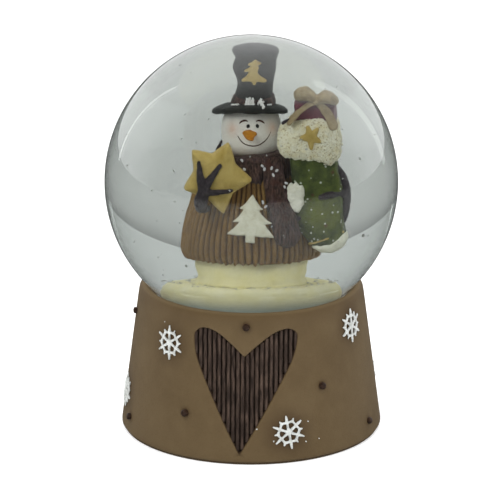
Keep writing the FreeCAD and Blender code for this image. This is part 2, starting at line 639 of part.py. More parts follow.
def hole_group(name, spots, radius, height, bottom, head_radius, head_height, head_bottom):
    """Screws at given spots: shanks with round heads, as one fused tool or node."""
    shanks = []
    for index, (x, y) in enumerate(spots):
        shank = cylinder("%s_shank_%d" % (name, index), radius, height, x=x, y=y, z=bottom)
        top = cylinder("%s_head_%d" % (name, index), head_radius, head_height, x=x, y=y, z=head_bottom)
        shanks += [shank, top]
    return fuse(name, *shanks)


def cover_screws(name):
    spots = []
    for index in range(int(dim("boss_count"))):
        turn = math.radians(dim("boss_turn") + index * 360 / dim("boss_count"))
        spots.append(("$boss_circle * %.6f" % math.cos(turn), "$boss_circle * %.6f" % math.sin(turn)))
    return hole_group(name, spots, "$cover_screw_radius", "$cover_screw_length",
                      "$recess_top - $cover_thickness", "$cover_head_radius", "$cover_head_height",
                      "$recess_top - $cover_thickness - $cover_head_height")


def bed_screws(name):
    spots = [("$bed_left + 4", "$bed_front + 4"), ("$bed_left + 4", "$bed_back - 4"),
             ("$bed_right - 4", "$bed_front + 4")]
    return hole_group(name, spots, "1.2", "$cover_thickness + $bed_thickness",
                      "$recess_top - $cover_thickness", "2.4", "$cover_head_height",
                      "$recess_top - $cover_thickness - $cover_head_height")


def comb_screws(name):
    spots = [("$cylinder_left + %s" % step, "$comb_back + 2.8") for step in (2.6, 8.4, 14.2)]
    return hole_group(name, spots, "$comb_screw_radius", "$comb_thickness + 4",
                      "$axle_height + $comb_thickness / 2 - 4", "$comb_head_radius", "1.3",
                      "$axle_height + $comb_thickness / 2")


TO_X = Rotation(Y_AXIS, 90)


def rod_x(name, radius, left, right, y="0", z="$axle_height"):
    return cylinder(name, radius, "(%s) - (%s)" % (right, left), x=left, y=y, z=z, turn=TO_X)


def build_bed():
    bed_blank = box("bed_block", "$bed_right - $bed_left", "$bed_back - $bed_front", "$bed_thickness",
                    x="$bed_left", y="$bed_front", z="$recess_top")
    bed_round = rounded("bed_rounded", bed_blank, "$bed_round",
                        lambda edge: edge.BoundBox.ZLength > 1.5)
    shaft_hole = cylinder("bed_shaft_hole", "$shaft_radius + $running_gap", "20", x="$wind_place")
    pivot_hole = cylinder("bed_pivot_hole", "$spindle_radius + $running_gap", "1.2",
                          x="$governor_place + $governor_width / 2",
                          y="$governor_offset + $worm_offset",
                          z="$recess_top + $bed_thickness - 1.2")
    node("movement_bedplate", cut("bed", bed_round, shaft_hole, pivot_hole, bed_screws("bed_holes")))
    node("movement_screws", bed_screws("movement_screw_set"))


def build_winding():
    """Spring housing and spring, winding shaft, key and great wheel on the winding axis."""
    top = "$recess_top + $bed_thickness"
    housing = turned("drum", [
        ("$drum_radius - $drum_wall", "0"), ("$drum_radius", "0"), ("$drum_radius", "$drum_height"),
        ("$shaft_radius + $running_gap", "$drum_height"),
        ("$shaft_radius + $running_gap", "$drum_height - $drum_wall"),
        ("$drum_radius - $drum_wall", "$drum_height - $drum_wall")])
    place(housing, x="$wind_place", z=top)
    node("spring_housing", housing)
    node("mainspring", feature("mainspring_coil", spring_shape()))

    shaft = cylinder("winding_rod", "$shaft_radius", "$shaft_top - $shaft_bottom", x="$wind_place",
                     z="$shaft_bottom")
    node("winding_shaft", shaft)
    wing = box("key_wing", "$key_wing_thickness", "$key_span", "$key_height",
               x="$wind_place - $key_wing_thickness / 2", y="-1 * $key_span / 2", z="$key_bottom")
    wing_round = rounded("key_wing_round_off", wing, "$key_wing_round * 0.6",
                         lambda edge: edge.BoundBox.XLength > 1 and edge.BoundBox.ZLength < 0.01
                         and edge.BoundBox.ZMax < dim("key_bottom") + 0.1)
    hub = cylinder("key_hub", "$key_hub_radius", "$key_height + 0.6", x="$wind_place",
                   z="$key_bottom")
    key = fuse("key_blank", wing_round, hub)
    node("winding_key", cut("key", key, shaft))

    wheel = turned("great_wheel_web", [
        ("$shaft_radius", "0"), ("$crown_radius + $crown_tooth_length / 2", "0"),
        ("$crown_radius + $crown_tooth_length / 2", "$crown_web"), ("$shaft_radius", "$crown_web")])
    doc.recompute()
    tooth = new_sketch(wheel, "crown_tooth_outline", "XY_Plane")
    half = "$crown_tooth_width / 2"
    near = "$crown_radius - $crown_tooth_length / 2"
    far = "$crown_radius + $crown_tooth_length / 2 - 0.05"
    closed_outline(tooth, [(near, "-1 * " + half), (far, "-1 * " + half), (far, half), (near, half)])
    raised = wheel.newObject("PartDesign::Pad", "crown_tooth")
    raised.Profile = tooth
    raised.setExpression("Length", expr("$crown_web + $crown_tooth_height"))
    ring = wheel.newObject("PartDesign::PolarPattern", "crown_ring")
    ring.Originals = [raised]
    ring.Axis = (tooth, ["N_Axis"])
    ring.Angle = 360.0
    ring.Occurrences = int(dim("crown_teeth"))
    wheel.Tip = ring
    place(wheel, x="$wind_place", z="$crown_bottom")
    node("great_wheel", wheel)


def spring_shape():
    """A flat spiral strip, from beside the shaft outwards."""
    start = dim("shaft_radius") + 1.0
    steps = int(dim("spring_turns") * 24)
    inner = []
    outer = []
    for index in range(steps + 1):
        turn = 2 * math.pi * index / 24
        radius = start + dim("spring_pitch") * turn / (2 * math.pi)
        for ring, size in ((inner, radius), (outer, radius + dim("spring_strip"))):
            ring.append(Vector(size * math.cos(turn), size * math.sin(turn), 0))
    outline = inner + list(reversed(outer))
    face = Part.Face(Part.makePolygon(outline + outline[:1]))
    coil = face.extrude(Vector(0, 0, dim("spring_height")))
    base = dim("recess_top") + dim("bed_thickness") + 0.5
    coil.translate(Vector(dim("wind_place"), 0, base))
    return coil


def build_cylinder():
    node("cylinder_arbor", rod_x("arbor", "$arbor_radius", "$arbor_left", "$arbor_right"))
    pinion = toothed_wheel("pinion", "$pinion_root", "$pinion_tip", "$pinion_teeth", "$pinion_length",
                           spur_tooth("$pinion_root", "$pinion_tip", "0.42", "0.2"),
                           "$arbor_radius")
    # A gap of the pinion points down at rest, over a tooth of the great wheel.
    half_pitch = 180.0 / dim("pinion_teeth")
    place(pinion, x="$wind_place + $crown_radius - $pinion_length / 2", z="$axle_height",
          turn=TO_X * Rotation(Z_AXIS, half_pitch))
    node("cylinder_pinion", pinion)

    body = Part.makeCylinder(dim("cylinder_radius"), dim("cylinder_right") - dim("cylinder_left"))
    body = body.cut(Part.makeCylinder(dim("arbor_radius"), 40))
    pins = []
    for note in range(int(dim("note_count"))):
        along = 0.75 + note * dim("note_pitch")
        for beat in range(3 + note % 3):
            # Golden-angle steps spread the tune's pins without lining any two up.
            turn = math.radians((note * 5 + beat * 7 + note * beat) * 137.508)
            out = Vector(math.cos(turn), math.sin(turn), 0)
            root = out * (dim("cylinder_radius") - 0.4) + Vector(0, 0, along)
            pins.append(Part.makeCylinder(dim("pin_radius"), 0.4 + dim("pin_proud"), root, out))
    barrel = feature("barrel", body.multiFuse(pins))
    barrel.Placement = Placement(Vector(dim("cylinder_left"), 0, dim("axle_height")), TO_X)
    node("pinned_cylinder", barrel)

    gear = toothed_wheel("gear", "$gear_root", "$gear_tip", "$gear_teeth", "$gear_width",
                         spur_tooth("$gear_root", "$gear_tip", "0.42", "0.2"), "$arbor_radius")
    place(gear, x="$gear_place", z="$axle_height", turn=TO_X * Rotation(Z_AXIS, 90))
    node("cylinder_gear", gear)


def build_plates():
    top = "$recess_top + $bed_thickness"
    inner_blank = box("inner_plate_block", "$plate_thickness", "8", "$plate_height - 1",
                      x="$inner_plate_place", y="-4", z=top)
    bore = rod_x("bearing_bore", "$arbor_radius + $running_gap", "-2", "30")
    node("inner_bearing_plate", cut("inner_plate", inner_blank, bore))
    outer_blank = box("outer_plate_block", "$plate_thickness", "$plate_back - $plate_front",
                      "$plate_height", x="$outer_plate_place", y="$plate_front", z=top)
    rise = "%s + $plate_height - $arm_height" % top
    side_arm = box("side_arm", "$plate_thickness", "$arm_back - $plate_back + 1", "$arm_height",
                   x="$outer_plate_place", y="$plate_back - 1", z=rise)
    top_arm = box("top_arm", "$arm_reach", "$arm_back - $arm_front", "$arm_height",
                  x="$outer_plate_place", y="$arm_front - 0.4", z=rise)
    stud = rod_x("stud_rod", "$stud_radius", "$outer_plate_place", "$outer_plate_place + $stud_length",
                 y="$governor_offset")
    spindle_hole = cylinder("spindle_hole", "$spindle_radius + $running_gap", "6",
                            x="$governor_place + $governor_width / 2",
                            y="$governor_offset + $worm_offset", z="%s - 1" % rise)
    frame = fuse("outer_plate_blank", outer_blank, side_arm, top_arm)
    node("outer_bearing_plate", cut("outer_plate", frame, bore, stud, spindle_hole))
    node("governor_stud", stud)


def build_governor():
    wheel = toothed_wheel("governor_disc", "$governor_radius - 0.5", "$governor_radius",
                          "$governor_teeth", "$governor_width",
                          spur_tooth("($governor_radius - 0.5)", "$governor_radius", "0.28",
                                     "0.14"), "$stud_radius + $running_gap")
    place(wheel, x="$governor_place", y="$governor_offset", z="$axle_height", turn=TO_X)
    pinion = toothed_wheel("governor_pinion", "$small_root", "$small_tip", "$small_teeth",
                           "$governor_place - $gear_place",
                           spur_tooth("$small_root", "$small_tip", "0.36", "0.18"),
                           "$stud_radius + $running_gap")
    # A gap of this pinion faces the cylinder gear's tooth at rest.
    half_pitch = 180.0 / dim("small_teeth")
    place(pinion, x="$gear_place", y="$governor_offset", z="$axle_height",
          turn=TO_X * Rotation(Z_AXIS, 90 + half_pitch))
    node("governor_wheel", fuse("governor_wheel_pair", wheel, pinion))

    x_place = "$governor_place + $governor_width / 2"
    y_place = "$governor_offset + $worm_offset"
    low = "$recess_top + $bed_thickness - 1"
    spindle = cylinder("fan_spindle", "$spindle_radius", "$plate_height + 0.6",
                       x=x_place, y=y_place, z=low)
    worm = cylinder("fan_worm", "$worm_radius", "6", x=x_place, y=y_place, z="$axle_height - 3")
    collar = cylinder("fan_collar", "$worm_radius", "$fan_height", x=x_place, y=y_place, z="$fan_bottom")
    vane = box("fan_vane", "$fan_radius * 2", "$fan_thickness", "$fan_height",
               x="%s - $fan_radius" % x_place, y="%s - $fan_thickness / 2" % y_place, z="$fan_bottom")
    node("governor_fan", fuse("fan", spindle, worm, collar, vane))


def build_comb():
    tip = "-1 * ($cylinder_radius + $pin_proud + $comb_gap)"
    bottom = "$axle_height - $comb_thickness / 2"
    back = box("comb_back_block", "$cylinder_right - $cylinder_left",
               "(%s) - $tooth_length - $comb_back" % tip, "$comb_thickness",
               x="$cylinder_left", y="$comb_back", z=bottom)
    teeth = []
    for note in range(int(dim("note_count"))):
        teeth.append(box("comb_tooth_%d" % note, "$tooth_width", "$tooth_length + 0.2",
                         "$comb_thickness",
                         x="$cylinder_left + 0.75 + %d * $note_pitch - $tooth_width / 2" % note,
                         y="(%s) - $tooth_length - 0.2" % tip, z=bottom))
    comb = fuse("comb_blank", back, *teeth)
    node("tone_comb", cut("comb", comb, comb_screws("comb_holes")))
    top = "$recess_top + $bed_thickness"
    rest = box("rest_block", "$cylinder_right - $cylinder_left", "$rest_front - $comb_back",
               "%s - (%s)" % (bottom, top), x="$cylinder_left", y="$comb_back", z=top)
    node("comb_rest", cut("rest", rest, comb_screws("rest_holes")))
    node("comb_screws", comb_screws("comb_screw_set"))


# ---------------------------------------------------------------- build, check and write

def check_document():
    doc.recompute()
    for item in doc.Objects:
        if "Invalid" in item.State or "Error" in item.State:
            raise RuntimeError("%s is %s" % (item.Name, item.State))
    for name, piece in nodes.items():
        if piece.Shape.isNull() or not piece.Shape.isValid():
            raise RuntimeError("%s has no valid shape" % name)
        if not piece.Shape.Solids:
            raise RuntimeError("%s has no solid" % name)


fill_sheet()
build_base()
build_base_trim()
build_globe()
build_figure()
build_bed()
build_winding()
build_cylinder()
build_plates()
build_governor()
build_comb()
check_document()
FIGURE = ["snow_ground", "snow_body", "ribbed_jumper", "head", "hat_crown", "hat_brim", "hat_band",
          "carrot_nose", "scarf_wrap", "scarf_tail", "jumper_tree", "hat_tree", "gold_star",
          "left_twig_hand", "stocking", "stocking_toe", "stocking_cuff", "cuff_star", "gift_box",
          "gift_bow", "right_twig_hand", "snow_clump"]
build_liquid([nodes[name] for name in FIGURE])
check_document()
for name, piece in nodes.items():
    piece.Shape.exportStep("parts/%s.step" % name)
    print("%-22s %d solid(s) %10.1f mm3" % (name, len(piece.Shape.Solids), piece.Shape.Volume))
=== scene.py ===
import math

import bmesh
import bpy
import numpy as np
from bpy.props import FloatProperty, FloatVectorProperty, IntProperty, PointerProperty
from mathutils import Matrix, Vector, geometry, noise


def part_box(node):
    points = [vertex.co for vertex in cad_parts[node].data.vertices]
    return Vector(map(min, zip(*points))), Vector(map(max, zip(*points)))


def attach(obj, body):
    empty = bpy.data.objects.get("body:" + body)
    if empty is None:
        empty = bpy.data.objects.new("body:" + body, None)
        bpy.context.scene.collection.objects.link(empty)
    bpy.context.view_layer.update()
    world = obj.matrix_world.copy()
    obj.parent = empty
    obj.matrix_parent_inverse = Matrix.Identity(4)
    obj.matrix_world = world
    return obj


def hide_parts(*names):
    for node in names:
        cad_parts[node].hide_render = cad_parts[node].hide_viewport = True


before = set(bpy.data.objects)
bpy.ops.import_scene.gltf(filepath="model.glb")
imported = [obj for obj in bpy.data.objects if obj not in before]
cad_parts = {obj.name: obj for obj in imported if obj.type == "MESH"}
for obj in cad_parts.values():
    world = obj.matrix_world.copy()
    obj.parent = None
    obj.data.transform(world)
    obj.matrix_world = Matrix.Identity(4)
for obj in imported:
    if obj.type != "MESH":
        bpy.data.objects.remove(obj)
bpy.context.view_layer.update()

bl_info = {
    "name": "Snow Globe Finish",
    "version": (1, 0, 0),
    "blender": (4, 5, 0),
    "location": "View3D > Sidebar > Snow Globe",
    "description": "Sculpts and paints a water-filled snow globe on its packed mechanical frame",
    "category": "Object",
}

MM = 0.001
STILL = "base_and_globe"


# ---------------------------------------------------------------- sizes, some taken from the frame

def span(node):
    """Lowest and highest corner of a frame node, in millimetres."""
    low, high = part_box(node)
    return low / MM, high / MM


# The base: a cone from its foot to its rim. RIM_RADIUS is the cone's own radius at the rim.
BASE_LOW, BASE_HIGH = span("base_housing")
FOOT_RADIUS, FOOT_Z, RIM_Z = BASE_HIGH.x, BASE_LOW.z, BASE_HIGH.z
RIM_RADIUS = 38.2
SOCKET_RADIUS, SOCKET_Z = 33.8, 35.5
HOLLOW_RADIUS, HOLLOW_Z = 37.0, 32.0
COVER_RADIUS, COVER_Z = 38.9, 11.0

# The ball, its glass and the stopper that closes it.
GLASS_LOW, GLASS_HIGH = span("glass_globe")
BALL_RADIUS = GLASS_HIGH.x
BALL_Z = GLASS_HIGH.z - BALL_RADIUS
WALL = 2.4
STOPPER_HIGH = span("rubber_stopper")[1]
NECK_RADIUS, FLOOR_Z = STOPPER_HIGH.x, STOPPER_HIGH.z

# The head: half its width, depth and height, its middle, and how full its jaw is.
HEAD_X, HEAD_Y, HEAD_UP = 7.9, 7.7, 7.8
HEAD_Z = 100.8
JAW = 3.2



# ---------------------------------------------------------------- node building

class Flow:
    """One output of a node, so that maths on it can be written as an expression."""

    def __init__(self, nodes, socket):
        self.nodes = nodes
        self.socket = socket

    def maths(self, operation, first, second):
        return self.nodes.node("ShaderNodeMath", {"operation": operation}, {0: first, 1: second})

    def __add__(self, other):
        return self.maths("ADD", self, other)

    __radd__ = __add__

    def __sub__(self, other):
        return self.maths("SUBTRACT", self, other)

    def __rsub__(self, other):
        return self.maths("SUBTRACT", other, self)

    def __mul__(self, other):
        return self.maths("MULTIPLY", self, other)

    __rmul__ = __mul__

    def __pow__(self, other):
        return self.maths("POWER", self, other)


class Nodes:
    """A node tree under construction, with one method that adds any node."""

    def __init__(self, tree):
        self.tree = tree
        tree.nodes.clear()

    def node(self, kind, settings=None, sockets=None, out=0):
        made = self.tree.nodes.new(kind)
        for key, value in (settings or {}).items():
            if key == "stops":
                elements = made.color_ramp.elements
                while len(elements) < len(value):
                    elements.new(1.0)
                for element, (place, colour) in zip(elements, value):
                    element.position = place
                    element.color = colour
            else:
                setattr(made, key, value)
        for key, value in (sockets or {}).items():
            if isinstance(value, Flow):
                self.tree.links.new(value.socket, made.inputs[key])
            else:
                made.inputs[key].default_value = value
        return Flow(self, made.outputs[out]) if len(made.outputs) else made


def tone(red, green, blue):
    """A screen colour in 0 to 255 as the linear colour that shaders use."""
    linear = [(c / 255 / 12.92) if c <= 10 else ((c / 255 + 0.055) / 1.055) ** 2.4
              for c in (red, green, blue)]
    return (*linear, 1.0)


class Paint(Nodes):
    """A material whose nodes end in one Principled shader."""

    def __init__(self, name):
        self.material = bpy.data.materials.new(name)
        self.material.use_nodes = True
        super().__init__(self.material.node_tree)
        self.place = self.node("ShaderNodeTexCoord", out="Object")

    def noise(self, size, detail=3.0, rough=0.55, at=None):
        return self.node("ShaderNodeTexNoise", None, {
            "Vector": at or self.place, "Scale": 1 / (size * MM), "Detail": detail,
            "Roughness": rough})

    def cells(self, size, at=None, wander=1.0):
        return self.node("ShaderNodeTexVoronoi", None, {
            "Vector": at or self.place, "Scale": 1 / (size * MM), "Randomness": wander})

    def stretched(self, x, y, z):
        return self.node("ShaderNodeMapping", None, {"Vector": self.place, "Scale": (x, y, z)})

    def between(self, flow, low, high):
        """0 at low and under, 1 at high and over."""
        return self.node("ShaderNodeMapRange", None, {"Value": flow, "From Min": low,
                                                      "From Max": high})

    def mix(self, mask, first, second):
        return self.node("ShaderNodeMix", {"data_type": "RGBA"}, {0: mask, 6: first, 7: second},
                         out=2)

    def axis(self, index):
        return self.node("ShaderNodeSeparateXYZ", None, {0: self.place}, out=index)

    def reach(self, spot, size):
        """1 at a spot in millimetres, falling to 0 at size away from it."""
        away = self.node("ShaderNodeVectorMath", {"operation": "DISTANCE"},
                         {0: self.place, 1: tuple(c * MM for c in spot)}, out=1)
        return self.between(away, size * MM, 0.0)

    def mask(self, name):
        return self.node("ShaderNodeAttribute", {"attribute_name": name}, out="Fac")

    def bump(self, height, depth, under=None):
        sockets = {"Height": height, "Distance": depth * MM, "Strength": 1.0}
        if under is not None:
            sockets["Normal"] = under
        return self.node("ShaderNodeBump", None, sockets)

    def finish(self, colour, rough, normal=None, **fixed):
        sockets = {"Base Color": colour, "Roughness": rough}
        if normal is not None:
            sockets["Normal"] = normal
        sockets.update({key.replace("_", " "): value for key, value in fixed.items()})
        shader = self.node("ShaderNodeBsdfPrincipled", None, sockets)
        self.node("ShaderNodeOutputMaterial", None, {"Surface": shader})
        return self.material


# ---------------------------------------------------------------- shapes, in millimetres

def joined(shapes):
    """Several (points, faces) shapes as one."""
    points, faces, start = [], [], 0
    for spots, cells in shapes:
        points.append(np.asarray(spots, float))
        faces.extend([tuple(start + i for i in cell) for cell in cells])
        start += len(spots)
    return np.vstack(points), faces


def moved(shape, matrix):
    points = np.asarray(shape[0], float)
    turn = np.array(matrix.to_3x3())
    return points @ turn.T + np.array(matrix.translation), shape[1]


def lathe(profile, count=96, warp=None):
    """A closed turned shape about Z from (radius, height) pairs; a radius of 0 is a pole."""
    points, rings = [], []
    for radius, height in profile:
        if radius < 1e-6:
            rings.append([len(points)])
            points.append((0.0, 0.0, height))
            continue
        rings.append(list(range(len(points), len(points) + count)))
        for step in range(count):
            turn = 2 * math.pi * step / count
            spot = (radius * math.cos(turn), radius * math.sin(turn), height)
            points.append(warp(turn, radius, height) if warp else spot)
    faces = []
    for low, high in zip(rings, rings[1:]):
        for step in range(count):
            after = (step + 1) % count
            if len(low) == 1 and len(high) == 1:
                continue
            if len(low) == 1:
                faces.append((low[0], high[after], high[step]))
            elif len(high) == 1:
                faces.append((low[step], low[after], high[0]))
            else:
                faces.append((low[step], low[after], high[after], high[step]))
    if len(rings[0]) > 1 and len(rings[-1]) > 1:
        for step in range(count):
            after = (step + 1) % count
            faces.append((rings[-1][step], rings[-1][after], rings[0][after], rings[0][step]))
    return np.array(points), faces


def through(points, count):
    """A smooth line through points, in count steps."""
    spots = [Vector(p) for p in points]
    sections = len(spots) - 1
    result = []
    for step in range(count + 1):
        place = step * sections / count
        index = min(int(place), sections - 1)
        t = place - index
        b, c = spots[index], spots[index + 1]
        a = spots[index - 1] if index else b * 2 - c
        d = spots[index + 2] if index + 2 <= sections else c * 2 - b
        result.append(0.5 * ((2 * b) + (c - a) * t + (2 * a - 5 * b + 4 * c - d) * t * t
                             + (3 * b - a - 3 * c + d) * t ** 3))
    return result


def rod(path, radii, sides=10, flat=1.0, across=None):
    """A closed tube with round ends along points. flat thins it square to the across direction."""
    spots = [Vector(p) for p in path]
    sizes = [radii] * len(spots) if isinstance(radii, (int, float)) else list(radii)
    if len(sizes) != len(spots):
        sizes = list(np.interp(np.linspace(0, 1, len(spots)), np.linspace(0, 1, len(sizes)),
                               sizes))
    ways = [(spots[min(i + 1, len(spots) - 1)] - spots[max(i - 1, 0)]).normalized()
            for i in range(len(spots))]
    rings = []
    for end, sign in ((0, -1), (-1, 1)):
        caps = [(spots[end] + ways[end] * sign * sizes[end] * math.sin(a), ways[end],
                 sizes[end] * math.cos(a)) for a in (0.5, 0.95, 1.3)]
        rings.append(caps)
    line = rings[0][::-1] + list(zip(spots, ways, sizes)) + rings[1]
    side = Vector(across) if across is not None else Vector((0.31, 0.17, 0.93))
    points, faces = [], []
    for index, (spot, way, size) in enumerate(line):
        side = (side - way * side.dot(way)).normalized()
        up = way.cross(side)
        for step in range(sides):
            turn = 2 * math.pi * step / sides
            points.append(spot + side * size * math.cos(turn)
                          + up * size * flat * math.sin(turn))
        if index:
            start = (index - 1) * sides
            for step in range(sides):
                after = (step + 1) % sides
                faces.append((start + step, start + after, start + sides + after,
                              start + sides + step))
    faces.append(tuple(range(sides))[::-1])
    faces.append(tuple(range(len(points) - sides, len(points))))
    return np.array([tuple(p) for p in points]), faces


def ball(centre, sizes, count=20, turn=None):
    """An ellipsoid."""
    profile = [(math.sin(math.pi * i / count), -math.cos(math.pi * i / count))
               for i in range(count + 1)]
    profile[0], profile[-1] = (0.0, -1.0), (0.0, 1.0)
    points, faces = lathe(profile, count * 2)
    points = points * np.array(sizes, float)
    if turn is not None:
        points = points @ np.array(turn.to_3x3()).T
    return points + np.array(centre, float), faces


def edge_distance(spots, outline):
    """Distance of 2-D spots from a closed outline, above 0 inside."""
    spots = np.asarray(spots, float)
    outline = np.asarray(outline, float)
    best = np.full(len(spots), 1e9)
    inside = np.zeros(len(spots), bool)
    for start, end in zip(outline, np.roll(outline, -1, axis=0)):
        run = end - start
        part = np.clip(((spots - start) @ run) / max(run @ run, 1e-12), 0, 1)
        best = np.minimum(best, np.linalg.norm(spots - (start + part[:, None] * run), axis=1))
        crosses = (start[1] > spots[:, 1]) != (end[1] > spots[:, 1])
        rise = end[1] - start[1] if abs(end[1] - start[1]) > 1e-12 else 1e-12
        at = start[0] + (spots[:, 1] - start[1]) / rise * run[0]
        inside ^= crosses & (spots[:, 0] < at)
    return np.where(inside, best, -best)


def finished_mesh(holder):
    """The evaluated mesh of an object, without its modifiers; the object is removed."""
    graph = bpy.context.evaluated_depsgraph_get()
    mesh = bpy.data.meshes.new_from_object(holder.evaluated_get(graph))
    bpy.data.objects.remove(holder)
    return mesh


def as_object(name, points, faces=(), edges=()):
    mesh = bpy.data.meshes.new(name)
    mesh.from_pydata([tuple(float(c) * MM for c in p) for p in points], list(edges), list(faces))
    mesh.update()
    made = bpy.data.objects.new(name, mesh)
    bpy.context.scene.collection.objects.link(made)
    return made


def as_shape(mesh):
    points = np.zeros(len(mesh.vertices) * 3)
    mesh.vertices.foreach_get("co", points)
    faces = [tuple(face.vertices) for face in mesh.polygons]
    bpy.data.meshes.remove(mesh)
    return points.reshape(-1, 3) / MM, faces


def fused(shapes, voxel, rounds):
    """One closed skin round overlapping closed shapes, softened."""
    holder = as_object("blank", *joined(shapes))
    skin = holder.modifiers.new("skin", "REMESH")
    skin.mode = "VOXEL"
    skin.voxel_size = voxel * MM
    soft = holder.modifiers.new("soft", "SMOOTH")
    soft.factor = 0.5
    soft.iterations = rounds
    return as_shape(finished_mesh(holder))


def normals_of(shape):
    mesh = bpy.data.meshes.new("blank")
    mesh.from_pydata([tuple(p) for p in shape[0]], [], shape[1])
    mesh.update()
    result = np.array([tuple(n.vector) for n in mesh.vertex_normals])
    bpy.data.meshes.remove(mesh)
    return result


def roughened(shape, size, depth, seed=0.0, octaves=2):
    """Moves each point along its normal by a smooth random amount of up to depth."""
    points, faces = shape
    shift = Vector((seed * 7.3, seed * 3.1, seed * 5.7))
    amount = np.array([noise.fractal(Vector(p) / size + shift, 1.0, 2.0, octaves)
                       for p in points])
    return points + normals_of(shape) * (amount * depth)[:, None], faces


def slab(outline, front, back):
    """A closed plate from an (x, z) outline, between two y planes."""
    count = len(outline)
    points = [(x, front, z) for x, z in outline] + [(x, back, z) for x, z in outline]
    faces = [tuple(range(count)), tuple(range(2 * count - 1, count - 1, -1))]
    for step in range(count):
        after = (step + 1) % count
        faces.append((step, count + step, count + after, after))
    return np.array(points), faces


def pillow(outline, thickness, bulge, reach, voxel=0.35, rounds=6, back=0.3):
    """A plate that swells towards its middle. Its front faces -Y and its middle plane is y = 0."""
    half = thickness / 2
    points, faces = fused([slab(outline, -half, half)], voxel, rounds)
    inside = np.clip(edge_distance(points[:, [0, 2]], outline) / reach, 0, 1)
    swell = np.sqrt(1 - (1 - inside) ** 2) * bulge
    side = np.clip(points[:, 1] / half, -1, 1)
    points[:, 1] += np.where(side < 0, side, side * back) * swell
    return points, faces


def star(centre, tips, inner):
    """Outline through the given tips, each a little blunt, with a notch between neighbours."""
    middle = Vector(centre)
    blunt, sharp = 0.5, 0.1
    result = []
    for tip, after in zip(tips, tips[1:] + tips[:1]):
        a, b = Vector(tip), Vector(after)
        notch = (a + b) / 2 - middle
        notch = middle + notch.normalized() * inner
        side = (a - middle).normalized()
        square = Vector((-side.y, side.x))
        if square.dot(notch - a) >= 0:
            square = -square
        result.extend([a - side * blunt + square * blunt, a - side * sharp,
                       a - side * blunt - square * blunt, notch])
    return [tuple(p) for p in result]


def piece(name, shape, paint, body=STILL, stands_for=(), masks=None):
    """Adds a finished piece: a plain mesh at the origin, painted, riding on its body."""
    made = as_object(name, *shape)
    mesh = made.data
    work = bmesh.new()
    work.from_mesh(mesh)
    bmesh.ops.recalc_face_normals(work, faces=work.faces)
    work.to_mesh(mesh)
    work.free()
    mesh.polygons.foreach_set("use_smooth", [True] * len(mesh.polygons))
    for key, values in (masks or {}).items():
        layer = mesh.attributes.new(key, "FLOAT", "POINT")
        layer.data.foreach_set("value", np.asarray(values, np.float32))
    mesh.materials.append(paint)
    mesh.update()
    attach(made, body)
    if stands_for:
        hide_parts(*stands_for)
    return made


def repaint(paint, *nodes):
    """Gives frame nodes that keep their shape a better finish."""
    for name in nodes:
        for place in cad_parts[name].material_slots:
            place.material = paint


# ---------------------------------------------------------------- geometry nodes for what repeats

def new_recipe(name, inputs):
    """An empty geometry node tree with named inputs; returns its builder and input flows."""
    tree = bpy.data.node_groups.new(name, "GeometryNodeTree")
    tree.interface.new_socket("Geometry", in_out="INPUT", socket_type="NodeSocketGeometry")
    for label, kind in inputs:
        tree.interface.new_socket(label, in_out="INPUT", socket_type="NodeSocket" + kind)
    tree.interface.new_socket("Geometry", in_out="OUTPUT", socket_type="NodeSocketGeometry")
    recipe = Nodes(tree)
    entry = tree.nodes.new("NodeGroupInput")
    return recipe, {out.name: Flow(recipe, out) for out in entry.outputs if out.name}


def close_recipe(recipe, flow, paint):
    """Ends a tree in Realize Instances and Set Material."""
    real = recipe.node("GeometryNodeRealizeInstances", None, {0: flow})
    done = recipe.node("GeometryNodeSetMaterial", None, {"Geometry": real, "Material": paint})
    leave = recipe.tree.nodes.new("NodeGroupOutput")
    recipe.tree.links.new(done.socket, leave.inputs[0])
    return recipe.tree


def rods_recipe():
    """Rods along the edges of a mesh, with a wandering line and uneven thickness."""
    recipe, given = new_recipe("Rods along lines", [
        ("Radius", "Float"), ("Spacing", "Float"), ("Wander", "Float"), ("Wander Size", "Float"),
        ("Uneven", "Float"), ("Sides", "Int"), ("Seed", "Float"), ("Finish", "Material")])
    line = recipe.node("GeometryNodeMeshToCurve", None, {0: given["Geometry"]})
    even = recipe.node("GeometryNodeResampleCurve", {"mode": "LENGTH"},
                       {0: line, "Length": given["Spacing"]})
    where = recipe.node("GeometryNodeInputPosition")
    field = recipe.node("ShaderNodeTexNoise", {"noise_dimensions": "4D"},
                        {"Vector": where, "W": given["Seed"], "Scale": given["Wander Size"],
                         "Detail": 1.0}, out=1)
    centred = recipe.node("ShaderNodeVectorMath", {"operation": "SUBTRACT"},
                          {0: field, 1: (0.5, 0.5, 0.5)})
    shift = recipe.node("ShaderNodeVectorMath", {"operation": "SCALE"},
                        {0: centred, "Scale": given["Wander"]})
    bent = recipe.node("GeometryNodeSetPosition", None, {0: even, "Offset": shift})
    swell = recipe.node("ShaderNodeTexNoise", {"noise_dimensions": "4D"},
                        {"Vector": where, "W": given["Seed"] + 5.0,
                         "Scale": given["Wander Size"]})
    size = 1.0 + (swell - 0.5) * given["Uneven"]
    sized = recipe.node("GeometryNodeSetCurveRadius", None, {0: bent, "Radius": size})
    ring = recipe.node("GeometryNodeCurvePrimitiveCircle", None,
                       {"Resolution": given["Sides"], "Radius": given["Radius"]})
    tube = recipe.node("GeometryNodeCurveToMesh", None,
                       {"Curve": sized, "Profile Curve": ring, "Fill Caps": True})
    return close_recipe(recipe, tube, given["Finish"])


